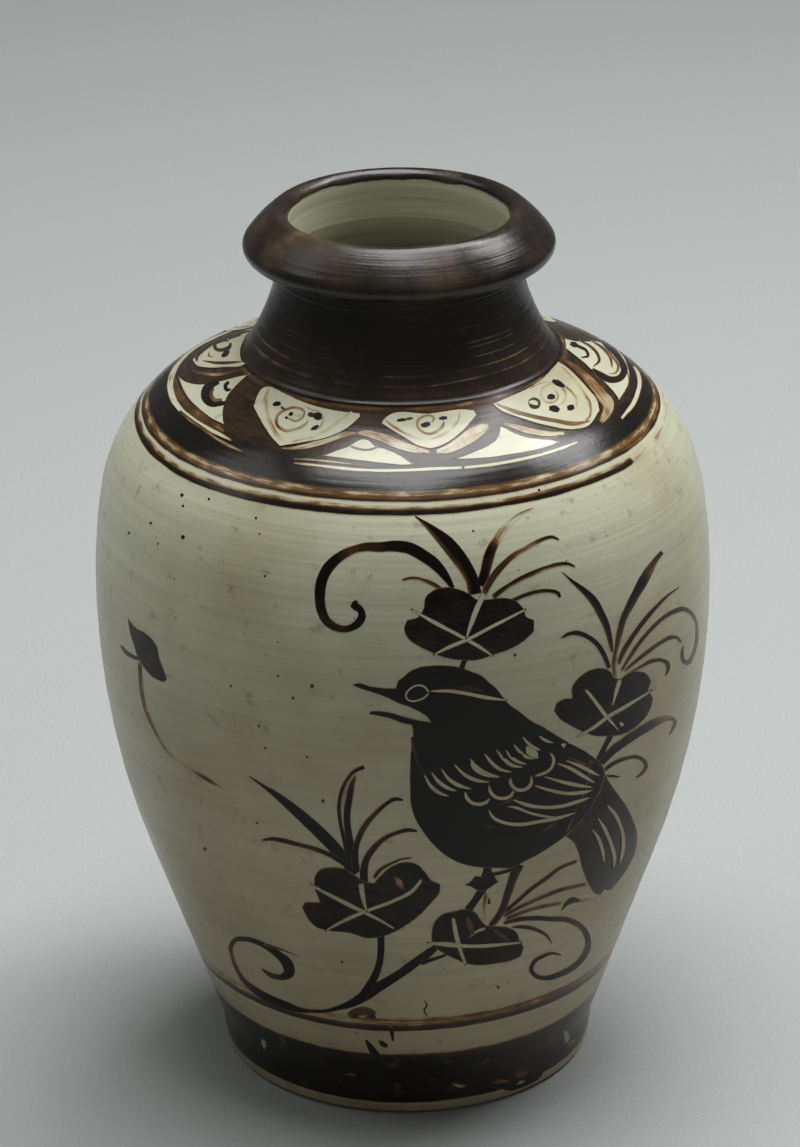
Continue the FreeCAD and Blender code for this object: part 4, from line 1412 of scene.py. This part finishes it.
# On the foot: the band reaches the bottom on the right, drips and a rusty blot under the plant,
# and chips down to the slip, each with the pigment at its rim
FOOT_MARKS = (
    (1.0, (
        (503, 1088, 4, 1.0), (509, 1087, 8, 1.0), (518, 1084, 9, 1.0), (529, 1079.5, 9, 1.0),
        (537, 1075, 8, 1.0), (542, 1071, 4, 1.0),
    )),
    (None, ((366, 1040, 2, 1.2), (369, 1045, 5, 1.2), (374, 1052, 7, 1.2), (380, 1057, 4, 1.2))),
    (None, ((379, 1040, 3, 0.9), (383, 1044, 6, 1.0), (388, 1047, 3, 0.9))),
    (None, ((390, 1026, 3, 1.1), (392, 1033, 4, 1.1), (393, 1041, 2, 1.2))),
    (0.3, ((347, 1015, 4, 0.8), (356, 1012, 8, 0.6), (366, 1011, 9, 0.5), (376, 1014, 5, 0.75))),
    (0.5, ((350, 1017, 3, 0.9), (354, 1016, 5, 0.9), (359, 1018, 2, 0.8))),
    (0.5, ((366, 1017, 2, 0.8), (371, 1016, 4, 0.9), (376, 1018, 2, 0.9))),
    (None, ((424, 1000, 1, 0.8), (427, 1005, 2, 0.9), (424, 1010, 2, 0.8), (428, 1017, 1, 0.8))),
    (0.5, ((262, 1038, 2, 0.1), (264, 1044, 5, 0.1), (265, 1050, 2, 0.3))),
    (0.6, ((345, 1075, 2, 0.45), (350, 1074, 4, 0.4), (357, 1076, 2, 0.5))),
    (0.6, ((452, 1083, 2, 0.4), (459, 1086, 4, 0.3), (467, 1085, 2, 0.4))),
    (0.6, ((492, 1083, 2, 0.5), (500, 1081, 5, 0.4), (509, 1081, 3, 0.5))),
    (0.5, ((564, 1030, 3, 0.2), (567, 1037, 6, 0.1), (565, 1044, 3, 0.2))),
    (0.5, ((516, 1084, 2, 0.1), (520, 1082.5, 4, 0.1), (525, 1080.5, 2, 0.1))),
)
# The larger iron specks in the slip: place and width
SPECKS = (
    (182, 495, 4), (183, 506, 3), (209, 499, 3), (256, 518, 3), (151, 523, 3), (183, 537, 4.5),
    (129, 533, 3), (265, 576, 2.5), (463, 467, 4), (559, 452, 4), (539, 490, 3), (231, 686, 2.5),
    (312, 686, 4.5), (293, 698, 3), (278, 676, 2.5), (259, 726, 3), (265, 748, 2.5), (307, 757, 2.5),
    (323, 801, 4), (205, 849, 4), (257, 823, 2.5), (515, 655, 3), (342, 962, 2.5), (498, 987, 3),
)
# Where the brush ran thin on the bird
BIRD_THIN = (
    ((412, 737, 2, 0.7), (414, 750, 4, 0.6), (418, 763, 4, 0.65), (426, 775, 2, 0.8)),
    ((497, 806, 2, 0.8), (508, 801, 4, 0.6), (521, 797, 2, 0.8)),
    ((483, 824, 2, 0.8), (492, 827, 4, 0.65), (502, 828, 2, 0.8)),
    ((540, 833, 2, 0.8), (549, 827, 5, 0.55), (558, 821, 2, 0.7)),
    ((446, 690, 3, 0.9), (465, 688, 7, 0.75), (485, 691, 4, 0.85)),
    ((566, 756, 2, 0.7), (580, 762, 5, 0.55), (594, 769, 2, 0.7)),
)


# ---------------------------------------------------------------------------------------------
# Painting
# ---------------------------------------------------------------------------------------------


def paint_flower(brush, leaves, petals, cuts):
    """Leaves, then the dark petals over their feet, then the cuts scratched back to the slip."""
    for thin, points in leaves:
        brush.stroke(points, thin=thin)
    brush.blot(petals, pigment=0.98, lean=-20)
    for points in cuts:
        brush.stroke(points, ground=0.55, rim=0.8)


def shoulder_brush(turn, lift, rise=0.0):
    """A finer brush for the shoulder, where the skin bends more."""
    return Brush(turn=turn, rise=rise, lift=lift, step=1.6, cell=3.0, layer=0.005)


def paint_panel(brush, panel):
    """A cream field with its brushed lines, then its dots."""
    field, lines, dots = panel
    brush.blot(field, ground=DENSE, pigment=RESERVE, rim=1.2)
    for width, pigment, points in lines:
        brush.stroke(points, width=width, pigment=pigment, rim=0.9)
    for points in dots:
        brush.stroke(points, ground=0.7, rim=0.7)


class VASE_OT_camera(Operator):
    """Stands the camera where the photograph was taken from"""

    bl_idname = "vase.camera"
    bl_label = "Camera"

    def execute(self, context):
        settings = context.scene.vase_camera
        data = bpy.data.cameras.new("photo_camera")
        data.sensor_fit = "VERTICAL"
        data.sensor_height = SENSOR
        data.lens = settings.lens
        camera = bpy.data.objects.new("photo_camera", data)
        camera.matrix_world = Matrix.Translation(settings.place) @ camera_turn().to_4x4()
        context.scene.collection.objects.link(camera)
        context.scene.camera = camera
        return {"FINISHED"}


class VASE_OT_clay(Operator):
    """Gives the thrown clay rings their bare stoneware, and the inside its pale glaze"""

    bl_idname = "vase.clay"
    bl_label = "Clay rings"

    def execute(self, context):
        for name in ("foot_ring", "floor_disc", "lower_body", "upper_body", "neck_collar", "mouth_rim"):
            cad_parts[name].material_slots[0].material = bare_clay()
        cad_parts["inner_glaze"].material_slots[0].material = inside_glaze()
        return {"FINISHED"}


class VASE_OT_coats(Operator):
    """Turns the slip coat and the iron glaze as smooth hand-thrown skins"""

    bl_idname = "vase.coats"
    bl_label = "Slip and glaze"

    def execute(self, context):
        spin_coat("slip_coat", 2.0, slip_glaze(), True)
        spin_coat("iron_glaze", 0.8, iron_glaze(), False)
        pool_crease(3.5, 0.03)
        return {"FINISHED"}


class VASE_OT_bands(Operator):
    """Brushes the rings of the shoulder and the foot"""

    bl_idname = "vase.bands"
    bl_label = "Bands"

    def execute(self, context):
        def outer_fade(turn, height):
            """The outer ring runs thin right of the front, and picks up again behind."""
            degrees = math.degrees(turn)
            return 0.15 if 57 < degrees < 118 else 1.0

        def chips_and_right_sheen(turn, height):
            """The foot's band is rubbed to brown here and there, and paler towards the right as a painted
            sheen.
            """
            spot = Vector((9 * math.sin(turn), 9 * math.cos(turn), height / 6))
            worn = min(max((noise.noise(spot) - 0.38) * 4, 0), 1)
            # Up to a quarter thinner on the right, a painted sheen of the lamps on the glossy band.
            return (1 - 0.4 * worn) * (1 - 0.25 * max(math.sin(turn), 0))

        def haze(turn, height):
            """Above its lower edge the thin ring is a haze of brown, fuller on the right."""
            full = min(max(0.5 + 1.2 * math.sin(turn), 0), 1)
            return 1.0 if height < 40.2 else 0.55 + 0.45 * full

        shoulder = Brush(lift=0.04)
        shoulder.band(SHOULDER_ROWS, 0.12)
        shoulder.finish("shoulder_ground")
        ring = Brush(lift=0.05)
        ring.band(RING_ROWS, 0.35, outer_fade)
        ring.finish("shoulder_ring")
        foot = Brush(lift=0.03)
        foot.band(FOOT_LINE_ROWS, 0.3, haze)
        foot.band(FOOT_ROWS, 0.2, chips_and_right_sheen)
        for ground, points in FOOT_MARKS:
            foot.stroke(points, ground=ground, rim=0.8)
        foot.finish("foot_bands")
        return {"FINISHED"}


class VASE_OT_gaps(Operator):
    """Fills the gaps between the panels and the ring, in cream and dry gold"""

    bl_idname = "vase.gaps"
    bl_label = "Gaps between panels"

    def execute(self, context):
        for name, turn, fields, strokes in (
            ("sides", 0.0, SIDE_FIELDS, SIDE_STROKES),
            ("front", 0.0, MIDDLE_FIELDS, MIDDLE_STROKES),
            ("back", BACK_TURN, MIDDLE_FIELDS, MIDDLE_STROKES),
        ):
            brush = shoulder_brush(turn, 0.07)
            for field in fields:
                brush.blot(field, ground=DENSE, pigment=RESERVE, rim=1.2)
            for ground, points in strokes:
                brush.stroke(points, ground=ground, rim=1.0)
            brush.finish("shoulder_gaps_" + name)
        for i, (turn, rise) in enumerate(CREAM_LINE_TURNS):
            brush = shoulder_brush(turn, 0.07 + 0.01 * i, rise)
            for ground, points in CREAM_LINE:
                brush.stroke(points, ground=ground, rim=1.0)
            brush.finish(f"shoulder_line_{i + 1}")
        return {"FINISHED"}


class VASE_OT_petals(Operator):
    """Paints the ring of petal panels round the neck"""

    bl_idname = "vase.petals"
    bl_label = "Petal panels"

    def execute(self, context):
        for name, turn, panels in (
            ("sides", 0.0, (LEFT_PANEL, RIGHT_PANEL)),
            ("front", 0.0, PANELS),
            ("back", BACK_TURN, PANELS),
        ):
            for i, panel in enumerate(panels):
                brush = shoulder_brush(turn, 0.15)
                paint_panel(brush, panel)
                brush.finish(f"petal_panel_{name}_{i + 1}")
        return {"FINISHED"}


class VASE_OT_bird(Operator):
    """Paints the bird, its wing and tail scratched back to the slip"""

    bl_idname = "vase.bird"
    bl_label = "Bird"

    def execute(self, context):
        brush = Brush(lift=0.09, ior=DRY)
        for thin, points in LEGS:
            brush.stroke(points, thin=thin)
        brush.blot(KNOT)
        brush.blot(TAIL, pigment=0.9, lean=60)
        brush.blot(BIRD, pigment=1.2, lean=25)
        brush.stroke([(x, y, 2.2, RESERVE) for x, y in EYE_RING], ground=0.6, rim=0.6)
        for points in BIRD_THIN:
            brush.stroke(points, ground=1.1)
        for width, points in FEATHER_CUTS + TAIL_CUTS:
            brush.stroke(points, width=width, pigment=RESERVE, ground=0.6, rim=0.8)
        brush.finish("bird")
        return {"FINISHED"}


class VASE_OT_flowers(Operator):
    """Paints the flowers, the scroll and the bud, and the same plant again at the back"""

    bl_idname = "vase.flowers"
    bl_label = "Flowers"

    def execute(self, context):
        for name, turn, parts in (
            ("flower_top", 0.0, (TOP_LEAVES, TOP_PETALS, TOP_CUTS)),
            ("flower_right", 0.0, (RIGHT_LEAVES, RIGHT_PETALS, RIGHT_CUTS)),
            ("flower_left", 0.0, (LEFT_LEAVES, LEFT_PETALS, LEFT_CUTS)),
            ("flower_low", 0.0, (LOW_LEAVES, LOW_PETALS, LOW_CUTS)),
            ("bud", 0.0, (BUD_STEMS, BUD, ())),
            ("back_flower_top", BACK_PLANT, (BACK_STEMS + TOP_LEAVES, TOP_PETALS, TOP_CUTS)),
            ("back_flower_right", BACK_PLANT, (RIGHT_LEAVES, RIGHT_PETALS, RIGHT_CUTS)),
            ("back_flower_left", BACK_PLANT, (LEFT_LEAVES, LEFT_PETALS, LEFT_CUTS)),
            ("back_flower_low", BACK_PLANT, (LOW_LEAVES, LOW_PETALS, LOW_CUTS)),
            ("back_bud", BACK_PLANT - 14.0, (BUD_STEMS, BUD, ())),
        ):
            brush = Brush(turn=turn, lift=0.07, ior=DRY)
            paint_flower(brush, *parts)
            brush.finish(name)
        return {"FINISHED"}


class VASE_OT_specks(Operator):
    """Dots the slip with its larger iron specks"""

    bl_idname = "vase.specks"
    bl_label = "Specks"

    def execute(self, context):
        brush = Brush(lift=0.05)
        for x, y, width in SPECKS:
            side = 0.4 * width
            dab = ((x - side, y, 0.5 * width, 1.0), (x, y, width, 1.1), (x + side, y, 0.5 * width, 1.0))
            brush.stroke(dab, ground=0.5, rim=0.5)
        brush.finish("iron_specks")
        return {"FINISHED"}


class VASE_OT_stage(Operator):
    """Lays the pale floor and hangs the soft lights"""

    bl_idname = "vase.stage"
    bl_label = "Floor and lights"

    def execute(self, context):
        bm = bmesh.new()
        bmesh.ops.create_grid(bm, x_segments=2, y_segments=2, size=6.0)
        mesh = bpy.data.meshes.new("studio_floor")
        bm.to_mesh(mesh)
        bm.free()
        material, tree = new_material("pale_felt")
        place = add(tree, "TexCoord").outputs["Object"]
        nap = add(tree, "TexNoise", {"Vector": place, "Scale": 900.0, "Detail": 3.0})
        felt = tuple(context.scene.vase_colours.floor) + (1.0,)
        soft = add(tree, "MapRange", {"Value": nap.outputs["Fac"], 1: 0.3, 2: 0.7, 3: 0.94, 4: 1.06})
        colour = add(
            tree, "Mix", {0: 1.0, 6: felt, 7: soft.outputs[0]}, data_type="RGBA", blend_type="MULTIPLY"
        )
        surface(tree, colour.outputs[2], 0.9, (0.3, 0.0005, nap.outputs["Fac"]))
        mesh.materials.append(material)
        floor = bpy.data.objects.new("studio_floor", mesh)
        context.scene.collection.objects.link(floor)
        for name, place, size, power in (
            ("overhead_softbox", (0.16, 0.22, 1.75), (1.0, 1.5), 34.0),
            ("right_softbox", (1.05, 0.45, 1.50), (0.6, 0.6), 9.0),
            ("left_softbox", (-1.10, 0.10, 1.40), (0.7, 0.7), 2.0),
        ):
            lamp = bpy.data.lights.new(name, "AREA")
            lamp.shape = "RECTANGLE"
            lamp.size, lamp.size_y = size
            lamp.energy = power
            holder = bpy.data.objects.new(name, lamp)
            holder.location = place
            aim = Vector((0, 0, 0.17)) - Vector(place)
            holder.rotation_euler = aim.to_track_quat("-Z", "Y").to_euler()
            context.scene.collection.objects.link(holder)
        world = bpy.data.worlds.new("grey_studio")
        world.use_nodes = True
        air = world.node_tree
        air.nodes.clear()
        light = add(air, "Background", {"Color": tint("#c9cac8"), "Strength": 0.21})
        add(air, "OutputWorld", {"Surface": light.outputs[0]})
        context.scene.world = world
        context.scene.view_settings.view_transform = "Standard"
        return {"FINISHED"}


STEPS = (
    VASE_OT_camera,
    VASE_OT_clay,
    VASE_OT_coats,
    VASE_OT_bands,
    VASE_OT_gaps,
    VASE_OT_petals,
    VASE_OT_bird,
    VASE_OT_flowers,
    VASE_OT_specks,
    VASE_OT_stage,
)


class VASE_PT_panel(Panel):
    """Lists the steps of glazing and painting, in order"""

    bl_idname = "VASE_PT_panel"
    bl_label = "Meiping vase"
    bl_space_type = "VIEW_3D"
    bl_region_type = "UI"
    bl_category = "Vase"

    def draw(self, context):
        for group in (context.scene.vase_camera, context.scene.vase_throwing, context.scene.vase_colours):
            box = self.layout.box()
            for name in group.__annotations__:
                box.prop(group, name)
        for step in STEPS:
            self.layout.operator(step.bl_idname)


GROUPS = {
    "vase_camera": VaseCamera,
    "vase_throwing": VaseThrowing,
    "vase_colours": VaseColours,
}


def register():
    for group in GROUPS.values():
        bpy.utils.register_class(group)
    for name, group in GROUPS.items():
        setattr(bpy.types.Scene, name, PointerProperty(type=group))
    for step in STEPS:
        bpy.utils.register_class(step)
    bpy.utils.register_class(VASE_PT_panel)


def unregister():
    bpy.utils.unregister_class(VASE_PT_panel)
    for step in reversed(STEPS):
        bpy.utils.unregister_class(step)
    for name, group in GROUPS.items():
        delattr(bpy.types.Scene, name)
        bpy.utils.unregister_class(group)


def main():
    register()
    bpy.ops.vase.camera()
    bpy.ops.vase.clay()
    bpy.ops.vase.coats()
    bpy.ops.vase.bands()
    bpy.ops.vase.gaps()
    bpy.ops.vase.petals()
    bpy.ops.vase.bird()
    bpy.ops.vase.flowers()
    bpy.ops.vase.specks()
    bpy.ops.vase.stage()


if __name__ == "__main__":
    main()
